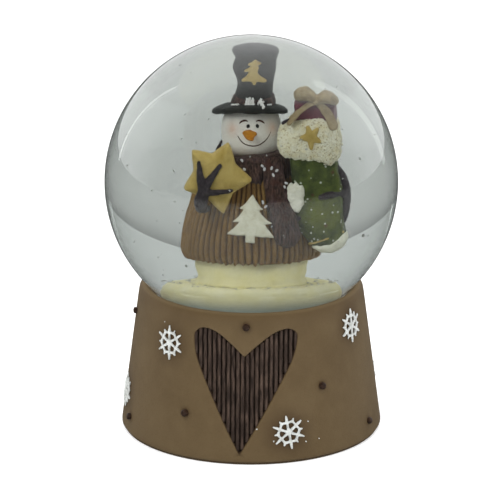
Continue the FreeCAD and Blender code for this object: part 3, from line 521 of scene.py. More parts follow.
def copies_recipe():
    """One small shape at every point of a mesh, standing along the point's facing direction."""
    recipe, given = new_recipe("Copies at points", [
        ("Shape", "Object"), ("Smallest", "Float"), ("Largest", "Float"), ("Spin", "Float"),
        ("Seed", "Int"), ("Finish", "Material")])
    spots = recipe.node("GeometryNodeMeshToPoints", None, {0: given["Geometry"]})
    facing = recipe.node("GeometryNodeInputNamedAttribute", {"data_type": "FLOAT_VECTOR"},
                         {"Name": "facing"})
    stand = recipe.node("FunctionNodeAlignRotationToVector", {"axis": "Z"}, {"Vector": facing})
    spin = recipe.node("FunctionNodeRandomValue", None,
                       {2: 0.0, 3: given["Spin"], "Seed": given["Seed"]}, out=1)
    turn = recipe.node("FunctionNodeAxisAngleToRotation", None,
                       {"Axis": (0.0, 0.0, 1.0), "Angle": spin})
    both = recipe.node("FunctionNodeRotateRotation", {"rotation_space": "LOCAL"},
                       {0: stand, 1: turn})
    size = recipe.node("FunctionNodeRandomValue", None,
                       {2: given["Smallest"], 3: given["Largest"],
                        "Seed": given["Seed"] + 1.0}, out=1)
    shape = recipe.node("GeometryNodeObjectInfo", None, {0: given["Shape"]}, out="Geometry")
    placed = recipe.node("GeometryNodeInstanceOnPoints", None,
                         {"Points": spots, "Instance": shape, "Rotation": both, "Scale": size})
    return close_recipe(recipe, placed, given["Finish"])


def run_recipe(tree, holder, values):
    """Runs a tree on an object and returns the plain result as a shape."""
    step = holder.modifiers.new("recipe", "NODES")
    step.node_group = tree
    for item in tree.interface.items_tree:
        if item.in_out == "INPUT" and item.name in values:
            step[item.identifier] = values[item.name]
    holder.update_tag()
    return as_shape(finished_mesh(holder))


def rods(lines, radius, paint, seed, spacing=1.5, wander=0.15, wander_size=4.0, uneven=0.3,
         sides=8):
    points, edges = [], []
    for line in lines:
        edges.extend((len(points) + i, len(points) + i + 1) for i in range(len(line) - 1))
        points.extend(line)
    holder = as_object("lines", points, edges=edges)
    return run_recipe(rods_recipe(), holder, {
        "Radius": radius * MM, "Spacing": spacing * MM, "Wander": wander * 2 * MM,
        "Wander Size": 1 / (wander_size * MM), "Uneven": uneven * 2, "Sides": sides,
        "Seed": float(seed), "Finish": paint})


def copies(shape, spots, facings, paint, seed, smallest=1.0, largest=1.0, spin=2 * math.pi):
    mould = as_object("mould", *shape)
    mould.hide_render = True
    holder = as_object("spots", spots)
    layer = holder.data.attributes.new("facing", "FLOAT_VECTOR", "POINT")
    layer.data.foreach_set("vector", np.asarray(facings, np.float32).ravel())
    result = run_recipe(copies_recipe(), holder, {
        "Shape": mould, "Smallest": smallest, "Largest": largest, "Spin": spin, "Seed": seed,
        "Finish": paint})
    bpy.data.objects.remove(mould)
    return result


def spots_on(shape, count, seed, allow=None):
    """Random points on a shape's faces, with the faces' normals."""
    points, faces = shape
    rng = np.random.default_rng(seed)
    triangles = np.array([(f[0], f[i], f[i + 1]) for f in faces for i in range(1, len(f) - 1)])
    a, b, c = (points[triangles[:, i]] for i in range(3))
    cross = np.cross(b - a, c - a)
    area = np.linalg.norm(cross, axis=1)
    picks = rng.choice(len(area), count, p=area / area.sum())
    u, v = rng.random(count), rng.random(count)
    flip = u + v > 1
    u[flip], v[flip] = 1 - u[flip], 1 - v[flip]
    spots = a[picks] + u[:, None] * (b - a)[picks] + v[:, None] * (c - a)[picks]
    facings = cross[picks] / np.maximum(area[picks], 1e-12)[:, None]
    if allow is not None:
        keep = np.array([bool(allow(p, n)) for p, n in zip(spots, facings)])
        spots, facings = spots[keep], facings[keep]
    return spots, facings


# ---------------------------------------------------------------- the base's side

FLAKE_PLACES = [(-43.0, 38.2), (58.0, 41.5), (16.6, 10.8), (-80.0, 13.8),
                (104.0, 17.0), (140.0, 40.0), (180.0, 14.0), (-135.0, 36.0)]
FLAKE_TURNS = [6, -4, 9, 14, 3, -12, 8, 20]
PEG_PLACES = [(-2.5, 46.6), (-83.0, 41.5), (-31.0, 15.8), (-70.0, 6.6), (34.5, 24.6), (65.0, 6.4),
              (106.0, 33.0), (125.0, 8.0), (165.0, 44.0), (-160.0, 20.0), (-112.0, 44.0),
              (-120.0, 8.0)]
HEART_HALF = [(0.0, 0.0), (0.36, 0.27), (0.685, 0.535), (0.93, 0.755), (1.0, 0.905),
              (0.965, 0.967), (0.81, 1.0), (0.555, 0.972), (0.275, 0.888), (0.0, 0.787)]
# The heart faces a little to the left of the front, leans right and sits left of the middle.
HEART_TURN = math.radians(-3.2)
HEART_LEAN = 0.045
HEART_SHIFT = -1.6
HEART_TIP = 3.2
HEART_REACH = 27


def side_radius(height):
    """Radius of the base's side at a height, or at each of an array of heights."""
    return FOOT_RADIUS + (RIM_RADIUS - FOOT_RADIUS) * (height - FOOT_Z) / (RIM_Z - FOOT_Z)


def on_side(angle, height, out=0.0):
    """A point on the base's side: degrees from the front, height, distance proud of it."""
    turn = math.radians(angle)
    radius = side_radius(height) + out
    return (radius * math.sin(turn), -radius * math.cos(turn), height)


def wrapped(shape, angle, height, spin=0.0):
    """Bends a flat shape, drawn in x (across), y (up) and z (out), onto the base's side."""
    points, faces = shape
    c, s = math.cos(math.radians(spin)), math.sin(math.radians(spin))
    result = []
    for x, y, z in points:
        across, up = x * c - y * s, x * s + y * c
        turn = angle + math.degrees(across / side_radius(height))
        result.append(on_side(turn, height + up * 0.991, z))
    return np.array(result), faces


def heart_outline(width, height, steps=9):
    """The heart's outline in (x, z), tip at the bottom, leaning a little to the right."""
    right = through([(x, y, 0) for x, y in HEART_HALF], steps * (len(HEART_HALF) - 1))
    half = [(p.x * width / 2, p.y * height) for p in right]
    whole = half + [(-x, y) for x, y in half[-2:0:-1]]
    return [(x + HEART_LEAN * y + HEART_SHIFT, y + HEART_TIP) for x, y in whole]


class SNOWGLOBE_PG_base(bpy.types.PropertyGroup):
    """Sizes and colours of the cast base and its trim."""
    colour: FloatVectorProperty(
        name="Base Colour", description="Main colour of the cast base", subtype="COLOR",
        size=4, min=0, max=1, default=tone(93, 77, 52))
    heart_width: FloatProperty(name="Heart Width", description="Width of the heart recess",
                               default=34.4 * MM, unit="LENGTH")
    heart_height: FloatProperty(name="Heart Height", description="Height of the heart recess",
                                default=42.2 * MM, unit="LENGTH")
    heart_depth: FloatProperty(name="Heart Depth", description="Depth of the heart recess",
                               default=1.3 * MM, unit="LENGTH")
    rib_pitch: FloatProperty(name="Rib Pitch", description="Distance between ribs in the heart",
                             default=1.57 * MM, unit="LENGTH")
    flake_radius: FloatProperty(name="Snowflake Radius", description="Reach of a snowflake's arms",
                                default=5.9 * MM, unit="LENGTH")
    peg_radius: FloatProperty(name="Peg Radius", description="Radius of the dark pegs",
                              default=1.15 * MM, unit="LENGTH")


class SNOWGLOBE_PG_globe(bpy.types.PropertyGroup):
    """The glass ball and what floats in it."""
    # Painted shade: the liquid's grey tint stands in for the dim room seen through the ball, and
    # greys the figure as well.
    liquid_shade_tint: FloatVectorProperty(
        name="Liquid Colour", description="Tint of the liquid over the whole ball",
        subtype="COLOR", size=4, min=0, max=1, default=(0.44, 0.465, 0.445, 1.0))
    flake_count: IntProperty(name="Loose Flakes", description="Number of floating white flakes",
                             default=90, min=0)
    rib_count: IntProperty(name="Jumper Ribs", description="Knitted ribs round the jumper",
                           default=58, min=12)


class SNOWGLOBE_OT_base(bpy.types.Operator):
    """Make the cast base with its recessed heart"""
    bl_idname = "snowglobe.base"
    bl_label = "Cast Base"

    def execute(self, context):
        sizes = context.scene.snowglobe_base
        outline = heart_outline(sizes.heart_width / MM, sizes.heart_height / MM)
        shape, halo, cut = base_skin(outline, sizes.heart_depth / MM)
        piece("cast_base", shape, base_paint(sizes.colour), stands_for=["base_housing"],
              masks={"halo": halo, "cut": cut})
        return {"FINISHED"}


def base_skin(outline, depth, columns=240, rows=40):
    """The base: its side with the heart sunk into it, soft shoulder, socket and hollow.

    The side is first meshed flat, as arc along a ring of mean radius against height, with
    rings of points that follow the heart's edge, and then rolled up and joined to the rest.
    """
    low, high = FOOT_Z + 0.7, RIM_Z - 4.6
    mean = (FOOT_RADIUS + RIM_RADIUS) / 2
    width = 2 * math.pi * mean
    flat = np.array([(-width / 2 + width * i / columns, low + (high - low) * j / rows)
                     for j in range(rows + 1) for i in range(columns + 1)])

    def inside_heart(spots):
        """Distance inside the heart's edge, as seen straight onto the heart."""
        gap = np.full(len(spots), -99.0)
        near = np.abs(spots[:, 0]) < HEART_REACH
        across = side_radius(spots[near, 1]) * np.sin(spots[near, 0] / mean - HEART_TURN)
        gap[near] = edge_distance(np.column_stack([across, spots[near, 1]]), outline)
        return gap

    keep = ~(np.abs(inside_heart(flat)) < 1.2) | (flat[:, 1] <= low + 1e-6) | (
        flat[:, 1] >= high - 1e-6)
    spots = [tuple(p) for p in flat[keep]]
    dense = np.array(outline)
    ways = np.roll(dense, -1, 0) - np.roll(dense, 1, 0)
    square = np.column_stack([ways[:, 1], -ways[:, 0]])
    square /= np.maximum(np.linalg.norm(square, axis=1), 1e-9)[:, None]
    for offset in (-0.75, -0.45, -0.3, -0.16, 0.0, 0.18, 0.42, 0.8):
        ring = dense + square * offset
        real = -edge_distance(ring, outline)
        spots.extend((mean * (math.asin(x / side_radius(z)) + HEART_TURN), z)
                     for (x, z), away in zip(ring, real) if abs(away - offset) < 0.04)
    result = geometry.delaunay_2d_cdt([Vector(p) for p in spots], [], [], 0, 1e-5)
    plane = np.array([tuple(p) for p in result[0]])
    faces = [tuple(f) for f in result[2]]
    sunk = np.interp(inside_heart(plane), [-0.8, -0.42, -0.18, 0.0, 0.16, 0.3, 0.45],
                     [0.0, 0.03, 0.12, 0.3, 0.65, 0.93, 1.0]) * (depth + 0.3)
    turn = plane[:, 0] / mean
    radius = side_radius(plane[:, 1]) - sunk
    points = list(np.column_stack([radius * np.sin(turn), -radius * np.cos(turn), plane[:, 1]]))

    shoulder = [(side_radius(high + 1.3) - 0.03, high + 1.3), (38.42, RIM_Z - 2.3),
                (38.0, RIM_Z - 1.35), (37.4, RIM_Z - 0.72), (36.7, RIM_Z - 0.38),
                (36.0, RIM_Z - 0.42), (35.6, RIM_Z - 0.75), (SOCKET_RADIUS, 49.0),
                (SOCKET_RADIUS, SOCKET_Z), (0.0, SOCKET_Z)]
    under = [(FOOT_RADIUS - 0.1, FOOT_Z + 0.3), (FOOT_RADIUS - 0.45, FOOT_Z),
             (COVER_RADIUS, FOOT_Z), (COVER_RADIUS, COVER_Z), (HOLLOW_RADIUS, COVER_Z),
             (HOLLOW_RADIUS, HOLLOW_Z), (0.0, HOLLOW_Z)]
    for profile, level in ((shoulder, high), (under, low)):
        last = [i for i, p in enumerate(plane) if abs(p[1] - level) < 1e-3]
        last.sort(key=lambda i: plane[i][0])
        close_side(points, faces, last[:columns], profile)
    points, faces = merged((np.array(points), faces))
    outside = np.hypot(points[:, 0], points[:, 1]) > SOCKET_RADIUS + 0.1
    facing = moved((points, faces), Matrix.Rotation(-HEART_TURN, 4, "Z"))[0]
    gap = edge_distance(facing[:, [0, 2]], outline)
    gap[(points[:, 1] > 0) | ~outside] = -99
    # The last mask is painted shade: it darkens the heart recess's wall and floor.
    return (points, faces), trim_wash_and_peg_shade(points) * outside, np.clip((gap + 0.15) / 0.3, 0, 1)


def close_side(points, faces, last, profile):
    """Carries the rolled side on through (radius, height) rings to a pole on the axis."""
    columns = len(last)
    for radius, height in profile:
        start = len(points)
        if radius == 0:
            points.append(np.array([0.0, 0.0, height]))
            faces.extend((last[i], last[(i + 1) % columns], start) for i in range(columns))
            return
        for step in range(columns):
            angle = -math.pi + 2 * math.pi * step / columns
            points.append(np.array([radius * math.sin(angle), -radius * math.cos(angle),
                                    height]))
        ring = list(range(start, start + columns))
        faces.extend((last[i], last[(i + 1) % columns], ring[(i + 1) % columns], ring[i])
                     for i in range(columns))
        last = ring


def trim_wash_and_peg_shade(points):
    """Strength of the dark wash round each snowflake, and of the painted shade round each peg
    where it sits in its hole.
    """
    halo = np.zeros(len(points))
    angles = np.degrees(np.arctan2(points[:, 0], -points[:, 1]))
    for places, size, strength in ((FLAKE_PLACES, 9.0, 1.0), (PEG_PLACES, 2.6, 0.75)):
        for angle, height in places:
            turn = (angles - angle + 180) % 360 - 180
            away = np.hypot(np.radians(turn) * 42, points[:, 2] - height)
            halo = np.maximum(halo, strength * np.clip(1.15 - away / size, 0, 1) ** 1.3)
    return halo


def merged(shape, gap=1e-4):
    """Welds points that lie on each other."""
    work = bmesh.new()
    spots = [work.verts.new(tuple(p)) for p in shape[0]]
    for cell in shape[1]:
        try:
            work.faces.new([spots[i] for i in cell])
        except ValueError:
            continue
    bmesh.ops.remove_doubles(work, verts=work.verts, dist=gap)
    bmesh.ops.dissolve_degenerate(work, edges=work.edges, dist=gap / 10)
    work.verts.index_update()
    points = np.array([tuple(v.co) for v in work.verts])
    faces = [tuple(v.index for v in f.verts) for f in work.faces]
    work.free()
    return points, faces


def base_paint(colour):
    paint = Paint("olive_brown_cast_resin")
    broad = paint.noise(16, 3)
    fine = paint.noise(0.7, 4, 0.7)
    cloud = paint.noise(5, 4, 0.6)
    base = paint.mix(paint.between(broad, 0.35, 0.68), colour, tone(86, 70, 46))
    base = paint.mix(paint.between(cloud, 0.45, 0.8) * 0.35, base, tone(100, 84, 58))
    base = paint.mix(paint.between(fine, 0.56, 0.75) * 0.25, base, tone(68, 54, 35))
    rim = paint.between(paint.axis(2), 44.5 * MM, 49.0 * MM)
    base = paint.mix(rim * 0.45, base, tone(80, 64, 42))
    # Painted highlight: the rounded lip at the rim's top is lighter, where light falls on it.
    top = paint.between(paint.axis(2), 50.0 * MM, 50.8 * MM)
    base = paint.mix(top * 0.55, base, tone(112, 96, 70))
    # Dark airbrushed wash round the snowflakes, and painted shade round the pegs' holes.
    base = paint.mix(paint.mask("halo") * 0.72, base, tone(56, 38, 24))
    # Painted shade: the wall of the heart recess is darkened as if in its own shadow.
    base = paint.mix(paint.mask("cut"), base, tone(44, 32, 24))
    height = paint.noise(0.45, 3, 0.6) * 0.6 + paint.noise(3.2, 2) * 0.8
    return paint.finish(base, paint.between(fine, 0.2, 0.8) * 0.14 + 0.66,
                        paint.bump(height, 0.07), Specular_IOR_Level=0.3)


class SNOWGLOBE_OT_heart(bpy.types.Operator):
    """Make the ribbed panel set into the heart"""
    bl_idname = "snowglobe.heart"
    bl_label = "Ribbed Heart"

    def execute(self, context):
        sizes = context.scene.snowglobe_base
        outline = heart_outline(sizes.heart_width / MM, sizes.heart_height / MM)
        depth = sizes.heart_depth / MM
        pitch = sizes.rib_pitch / MM
        paint = rib_paint()
        lines = []
        edge = np.array(outline)
        left, right = edge[:, 0].min(), edge[:, 0].max()
        count = int((right - left) / pitch)
        for index in range(count + 1):
            x = left + (right - left - count * pitch) / 2 + index * pitch
            levels = np.arange(2.0, 50.0, 0.25)
            inside = edge_distance(np.column_stack([np.full(len(levels), x), levels]),
                                   outline) > 0.1
            if inside.sum() < 6:
                continue
            low, high = levels[inside].min(), levels[inside].max()
            line = []
            for height in np.linspace(low - 0.2, high + 0.2, max(4, int((high - low) / 1.4))):
                radius = side_radius(height) - depth + 0.15
                line.append((x, -math.sqrt(radius ** 2 - x ** 2), height))
            lines.append(line)
        ribs = rods(lines, pitch * 0.47, paint, 4, spacing=1.0, wander=0.2, wander_size=3.6,
                    uneven=0.36, sides=10)
        panel = moved(joined([ribs, heart_backing(outline, depth)]),
                      Matrix.Rotation(HEART_TURN, 4, "Z"))
        piece("ribbed_heart", panel, paint, stands_for=["heart_inlay"])
        return {"FINISHED"}


def heart_backing(outline, depth):
    """A thin closed panel that closes the gaps behind the ribs."""
    edge = [tuple(p) for p in outline]
    xs, zs = np.meshgrid(np.arange(-18, 18, 2.0), np.arange(2, 48, 2.0))
    inner = np.column_stack([xs.ravel(), zs.ravel()])
    inner = inner[edge_distance(inner, outline) > 0.8]
    result = geometry.delaunay_2d_cdt(
        [Vector(p) for p in edge + [tuple(p) for p in inner]],
        [(i, (i + 1) % len(edge)) for i in range(len(edge))], [], 1, 1e-5)
    flat = [tuple(p) for p in result[0]]
    faces = [tuple(f) for f in result[2]]
    count = len(flat)
    points = []
    for sunk in (depth - 0.05, depth + 0.2):
        for x, z in flat:
            radius = side_radius(z) - sunk
            points.append((x, -math.sqrt(radius ** 2 - x ** 2), z))
    uses = {}
    for face in faces:
        for a, b in zip(face, face[1:] + face[:1]):
            uses.setdefault((min(a, b), max(a, b)), []).append((a, b))
    walls = [(pairs[0][0], pairs[0][1], pairs[0][1] + count, pairs[0][0] + count)
             for pairs in uses.values() if len(pairs) == 1]
    backs = [tuple(i + count for i in reversed(face)) for face in faces]
    return np.array(points), faces + backs + walls


def rib_paint():
    paint = Paint("dark_ribbed_resin")
    streak = paint.noise(0.9, 3, 0.6, paint.stretched(1, 1, 0.14))
    blotch = paint.noise(5, 3)
    deep = paint.between(blotch, 0.35, 0.7)
    colour = paint.mix(paint.between(streak, 0.35, 0.7), tone(42, 32, 26), tone(86, 69, 58))
    colour = paint.mix(deep * 0.5, colour, tone(36, 27, 22))
    plan = paint.node("ShaderNodeVectorMath", {"operation": "MULTIPLY"},
                      {0: paint.place, 1: (1.0, 1.0, 0.0)})
    radius = paint.node("ShaderNodeVectorMath", {"operation": "LENGTH"}, {0: plan}, out=1)
    # The side slopes, so the height is taken out of the radius; the deeper parts of the ribs and
    # the gaps between them are then darkened as painted shade.
    slope = (FOOT_RADIUS - RIM_RADIUS) / (RIM_Z - FOOT_Z)
    level = radius + paint.axis(2) * slope
    top = (FOOT_RADIUS + FOOT_Z * slope) * MM
    groove_shade = paint.between(level, top - 0.5 * MM, top - 1.05 * MM)
    colour = paint.mix(groove_shade, colour, tone(26, 19, 14))
    return paint.finish(colour, 0.52, paint.bump(streak, 0.12), Specular_IOR_Level=0.4)


def flake_shape(reach):
    """A lacy six-armed snowflake lying on z = 0: spikes, and a scalloped ring with six holes."""
    shapes = []
    for arm in range(6):
        turn = math.radians(60 * arm)
        way = Vector((math.sin(turn), math.cos(turn), 0))
        base = Vector((0, 0, 0.35))
        shapes.append(rod([base, base + way * reach * 0.45, base + way * reach * 0.72,
                           base + way * (reach - 0.3)], [0.5, 0.42, 0.5, 0.3]))
        half = turn + math.radians(30)
        out = Vector((math.sin(half), math.cos(half), 0))
        after = Vector((math.sin(turn + math.pi / 3), math.cos(turn + math.pi / 3), 0))
        loop = through([base + way * reach * 0.55, base + (way * 0.3 + out).normalized()
                        * reach * 0.62, base + out * reach * 0.66,
                        base + (after * 0.3 + out).normalized() * reach * 0.62,
                        base + after * reach * 0.55], 10)
        shapes.append(rod(loop, 0.42))
        shapes.append(rod([base + out * reach * 0.62, base + out * reach * 0.8], [0.45, 0.3]))
    shapes.append(ball((0, 0, 0.4), (1.15, 1.15, 0.6), 12))
    points, faces = fused(shapes, 0.17, 2)
    points[:, 2] = np.where(points[:, 2] < 0, points[:, 2] * 1.4, points[:, 2])
    return points, faces


class SNOWGLOBE_OT_trim(bpy.types.Operator):
    """Make the snowflakes, pegs and stray chips on the base's side"""
    bl_idname = "snowglobe.trim"
    bl_label = "Base Trim"

    def execute(self, context):
        sizes = context.scene.snowglobe_base
        flake = flake_shape(sizes.flake_radius / MM)
        flakes = []
        for index, ((angle, height), spin) in enumerate(zip(FLAKE_PLACES, FLAKE_TURNS)):
            flakes.append(roughened(wrapped(flake, angle, height, spin), 1.3, 0.12, index))
        piece("lace_snowflakes", joined(flakes), flake_paint(), stands_for=["base_snowflakes"])
        size = sizes.peg_radius / MM
        peg = lathe([(0, -0.8), (size * 1.08, -0.8), (size * 1.02, 0.25), (size, 0.9),
                     (size * 0.82, 1.18), (size * 0.45, 1.3), (0, 1.32)], 20)
        dark = peg_paint()
        spots, facings = [], []
        for angle, height in PEG_PLACES:
            spots.append(on_side(angle, height))
            turn = math.radians(angle)
            facings.append((math.sin(turn), -math.cos(turn), 0.13))
        pegs = copies(peg, spots, facings, dark, 3, 0.92, 1.08)
        piece("dark_pegs", roughened(pegs, 0.9, 0.07, 2), dark, stands_for=["base_pegs"])
        chip = ball((0, 0, 0.05), (0.4, 0.28, 0.12), 6)
        chips = [(26.0, 13.5), (24.5, 6.8), (31.0, 7.0), (9.8, 8.0), (2.4, 12.3), (-48.0, 44.4),
                 (110.0, 40.0), (-100.0, 22.0)]
        spots = [on_side(a, h, 0.02) for a, h in chips]
        facings = [Vector((math.sin(math.radians(a)), -math.cos(math.radians(a)), 0.13))
                   for a, h in chips]
        white = flake_paint("stray_chip_resin")
        stray = copies(chip, spots, facings, white, 9, 0.4, 0.9)
        piece("stray_chips", stray, white)
        return {"FINISHED"}


def flake_paint(name="white_snowflake_resin"):
    paint = Paint(name)
    dirt = paint.noise(1.6, 4, 0.6)
    colour = paint.mix(paint.between(dirt, 0.45, 0.75), tone(202, 205, 202), tone(150, 152, 146))
    return paint.finish(colour, 0.5, paint.bump(paint.noise(0.5, 2), 0.08),
                        Specular_IOR_Level=0.4)


def peg_paint():
    paint = Paint("dark_peg_resin")
    mark = paint.noise(0.8, 3)
    colour = paint.mix(paint.between(mark, 0.4, 0.7), tone(38, 25, 17), tone(60, 42, 30))
    return paint.finish(colour, 0.55, paint.bump(mark, 0.12), Specular_IOR_Level=0.4)


# ---------------------------------------------------------------- glass and liquid

class SNOWGLOBE_OT_globe(bpy.types.Operator):
    """Make the glass ball and the liquid that fills it"""
    bl_idname = "snowglobe.globe"
    bl_label = "Glass And Liquid"

    def execute(self, context):
        settings = context.scene.snowglobe_globe
        steps = 80
        inner = BALL_RADIUS - WALL
        bore = NECK_RADIUS - WALL

        def arc(radius, limit):
            """From the top pole down to where the ball is as narrow as limit."""
            last = math.pi - math.asin(limit / radius)
            return [(radius * math.sin(last * i / steps), BALL_Z + radius
                     * math.cos(last * i / steps)) for i in range(steps + 1)]

        outside = arc(BALL_RADIUS, NECK_RADIUS)
        inside = arc(inner, bore)
        outside[0], inside[0] = (0.0, outside[0][1]), (0.0, inside[0][1])
        profile = outside + [(NECK_RADIUS, 42.0), (NECK_RADIUS, GLASS_LOW.z), (bore, GLASS_LOW.z),
                             (bore, 44.0)] + inside[::-1]
        glass = lathe(profile, 160)
        clear = glass_paint("clear_glass", 1.5, (0.985, 0.995, 0.988, 1.0), 0.0)
        piece("glass_ball", glass, clear, stands_for=["glass_globe"])
        fill = arc(inner + 0.05, bore + 0.05)
        fill[0] = (0.0, fill[0][1])
        liquid = lathe(fill + [(bore + 0.05, FLOOR_Z - 0.15), (0.0, FLOOR_Z - 0.15)], 160)
        water = glass_paint("globe_water", 1.33, settings.liquid_shade_tint, 0.0)
        piece("globe_water", liquid, water, stands_for=["globe_liquid"])
        return {"FINISHED"}


def glass_paint(name, density, colour, rough):
    """Clear material that bends light, and that lets lamps through to what is inside."""
    paint = Paint(name)
    shader = paint.node("ShaderNodeBsdfPrincipled", None, {
        "Base Color": colour, "Roughness": rough, "IOR": density, "Transmission Weight": 1.0})
    open_way = paint.node("ShaderNodeBsdfTransparent")
    path = paint.node("ShaderNodeLightPath", out="Is Shadow Ray")
    both = paint.node("ShaderNodeMixShader", None, {0: path, 1: shader, 2: open_way})
    paint.node("ShaderNodeOutputMaterial", None, {"Surface": both})
    return paint.material


# ---------------------------------------------------------------- the figure

def head_front(x, z, lift=0.0):
    """A point on the front of the head at x and z; the jaw is fuller than a ball."""
    power = 2.0 if z > HEAD_Z else JAW
    ring = max(0.0, 1 - (abs(z - HEAD_Z) / HEAD_UP) ** power) ** (1 / power)
    return (x, -HEAD_Y * math.sqrt(max(ring ** 2 - (x / HEAD_X) ** 2, 0.0)) - lift, z)


class SNOWGLOBE_OT_snow_ground(bpy.types.Operator):
    """Make the snowy ground and the figure's plaster foot"""
    bl_idname = "snowglobe.snow_ground"
    bl_label = "Ground And Foot"

    def execute(self, context):
        low, high = span("snow_ground")
        radius, top = high.x, high.z
        profile = [(0.0, low.z), (radius - 0.4, low.z), (radius, low.z + 1.0),
                   (radius + 0.1, top - 6.0), (radius - 0.2, top - 3.4), (radius - 0.8, top - 1.6),
                   (radius - 1.9, top - 0.6), (radius - 3.2, top - 0.5), (radius - 5.5, top - 1.0),
                   (radius - 8.5, top - 0.6), (radius - 11.0, top), (6.0, top), (0.0, top)]
        fine = [(profile[0])]
        for a, b in zip(profile, profile[1:]):
            steps = max(1, int(math.hypot(b[0] - a[0], b[1] - a[1]) / 0.7))
            fine.extend((a[0] + (b[0] - a[0]) * i / steps, a[1] + (b[1] - a[1]) * i / steps)
                        for i in range(1, steps + 1))
        ground = roughened(lathe(fine, 128), 6.0, 0.35, 1, 3)
        paint = plaster_paint()
        piece("snow_ground_sculpt", ground, paint, stands_for=["snow_ground"])
        low, high = span("snow_body")
        wide = high.x
        body = [(0.0, low.z - 0.6), (wide + 0.4, low.z - 0.6), (wide + 0.1, low.z + 0.4),
                (wide - 0.2, low.z + 1.6), (wide + 0.3, low.z + 3.0), (wide + 0.5, low.z + 4.6),
                (wide + 0.2, low.z + 6.4), (wide - 1.5, low.z + 7.6), (0.0, low.z + 7.6)]
        foot = roughened(lathe(finer(body, 0.6), 112), 3.2, 0.45, 2, 3)
        piece("plaster_foot", foot, paint, stands_for=["snow_body"])
        return {"FINISHED"}


def finer(profile, step):
    result = [profile[0]]
    for a, b in zip(profile, profile[1:]):
        count = max(1, int(math.hypot(b[0] - a[0], b[1] - a[1]) / step))
        result.extend((a[0] + (b[0] - a[0]) * i / count, a[1] + (b[1] - a[1]) * i / count)
                      for i in range(1, count + 1))
    return result


def plaster_paint():
    paint = Paint("cream_plaster_snow")
    grain = paint.noise(0.55, 4, 0.7)
    cloud = paint.noise(4.5, 3)
    colour = paint.mix(paint.between(cloud, 0.35, 0.7), tone(250, 243, 192), tone(254, 250, 212))
    colour = paint.mix(paint.between(grain, 0.58, 0.72) * 0.55, colour, tone(168, 160, 120))
    # Painted shade and painted reflection: the ground's lower side fades to blue-grey, for the
    # shade on it and the bluish light the glass shows there.
    low = paint.between(paint.axis(2), 56.5 * MM, 52.0 * MM)
    colour = paint.mix(low * 0.85, colour, tone(158, 172, 172))
    height = grain * 0.5 + paint.noise(1.6, 3) * 0.8
    return paint.finish(colour, 0.7, paint.bump(height, 0.18), Specular_IOR_Level=0.3)


class SNOWGLOBE_OT_jumper(bpy.types.Operator):
    """Make the ribbed jumper and its tree badge"""
    bl_idname = "snowglobe.jumper"
    bl_label = "Jumper"

    def execute(self, context):
        ribs = context.scene.snowglobe_globe.rib_count
        profile = [(0.0, 67.3), (12.5, 67.3), (14.6, 66.9), (15.7, 66.7), (16.5, 67.3),
                   (16.9, 68.8), (16.8, 71.0), (16.4, 74.0), (15.5, 78.0), (14.4, 82.0),
                   (12.9, 86.0), (11.1, 90.0), (8.8, 92.0), (6.0, 93.0), (0.0, 93.0)]
        peaks = []

        def knit(turn, radius, height):
            wobble = noise.noise(Vector((math.cos(turn) * 3, math.sin(turn) * 3, height * 0.08)))
            phase = turn * ribs / 2 + wobble * 1.3
            round_top = abs(math.cos(phase)) ** 0.75
            weight = min(1.0, max(0.0, (radius - 9) / 4))
            uneven = noise.noise(Vector((turn * ribs / 3, height * 0.15, 4.0)))
            out = radius + (round_top - 0.62) * 1.25 * weight + uneven * 0.25 * weight
            out *= 1 + 0.02 * math.cos(turn * 2 + 0.6)
            drop = 0.0
            if height < 69:
                drop = (round_top - 0.6) * 0.5 + uneven * 0.9
            peaks.append(round_top)
            return (out * math.cos(turn), out * math.sin(turn), height - drop)

        shape = lathe(finer(profile, 0.7), ribs * 8, knit)
        tops = np.ones(len(shape[0]))
        tops[np.hypot(shape[0][:, 0], shape[0][:, 1]) >= 1e-6] = peaks
        piece("knitted_jumper", shape, knit_paint(), stands_for=["ribbed_jumper"],
              masks={"rib": tops})
        tree = [(0.4, 86.6), (1.5, 84.5), (2.4, 83.2), (3.5, 82.3), (1.9, 82.2), (3.2, 80.6),
                (4.4, 79.4), (5.9, 78.4), (3.6, 78.3), (4.8, 76.6), (6.4, 74.4), (4.4, 74.7),
                (2.6, 74.6), (0.9, 75.0), (0.9, 73.0), (-1.7, 73.2), (-1.5, 75.2), (-3.6, 75.1),
                (-6.9, 75.6), (-4.9, 77.2), (-3.2, 79.0), (-5.3, 78.9), (-3.4, 80.6),
                (-1.9, 82.6), (-3.4, 82.6), (-1.6, 84.0), (-0.6, 85.4)]
        badge = pillow(tree, 1.0, 0.35, 1.2, 0.22, 2)
        lean = Matrix.Rotation(math.radians(-15), 4, "X")
        shift = Matrix.Translation(Vector((0, -15.9, 80))) @ lean @ Matrix.Translation(
            Vector((0, 0, -80)))
        piece("jumper_tree_badge", roughened(moved(badge, shift), 1.5, 0.1, 3), snow_paint(
            "white_tree_resin", (242, 240, 220), (216, 213, 188)), stands_for=["jumper_tree"])
        return {"FINISHED"}


def knit_paint():
    paint = Paint("ribbed_tan_knit")
    top = paint.mask("rib")
    wash = paint.noise(3.0, 4, 0.6)
    thread = paint.noise(0.35, 3, 0.7, paint.stretched(1, 1, 0.4))
    colour = paint.mix(paint.between(wash, 0.35, 0.7), tone(152, 121, 74), tone(124, 95, 54))
    colour = paint.mix(paint.between(thread, 0.5, 0.8) * 0.4, colour, tone(104, 74, 40))
    # Painted shade: the grooves between the knitted ribs are darkened.
    colour = paint.mix(paint.between(top, 0.8, 0.1) * 0.97, colour, tone(58, 34, 14))
    return paint.finish(colour, 0.66, paint.bump(thread, 0.16), Specular_IOR_Level=0.25)


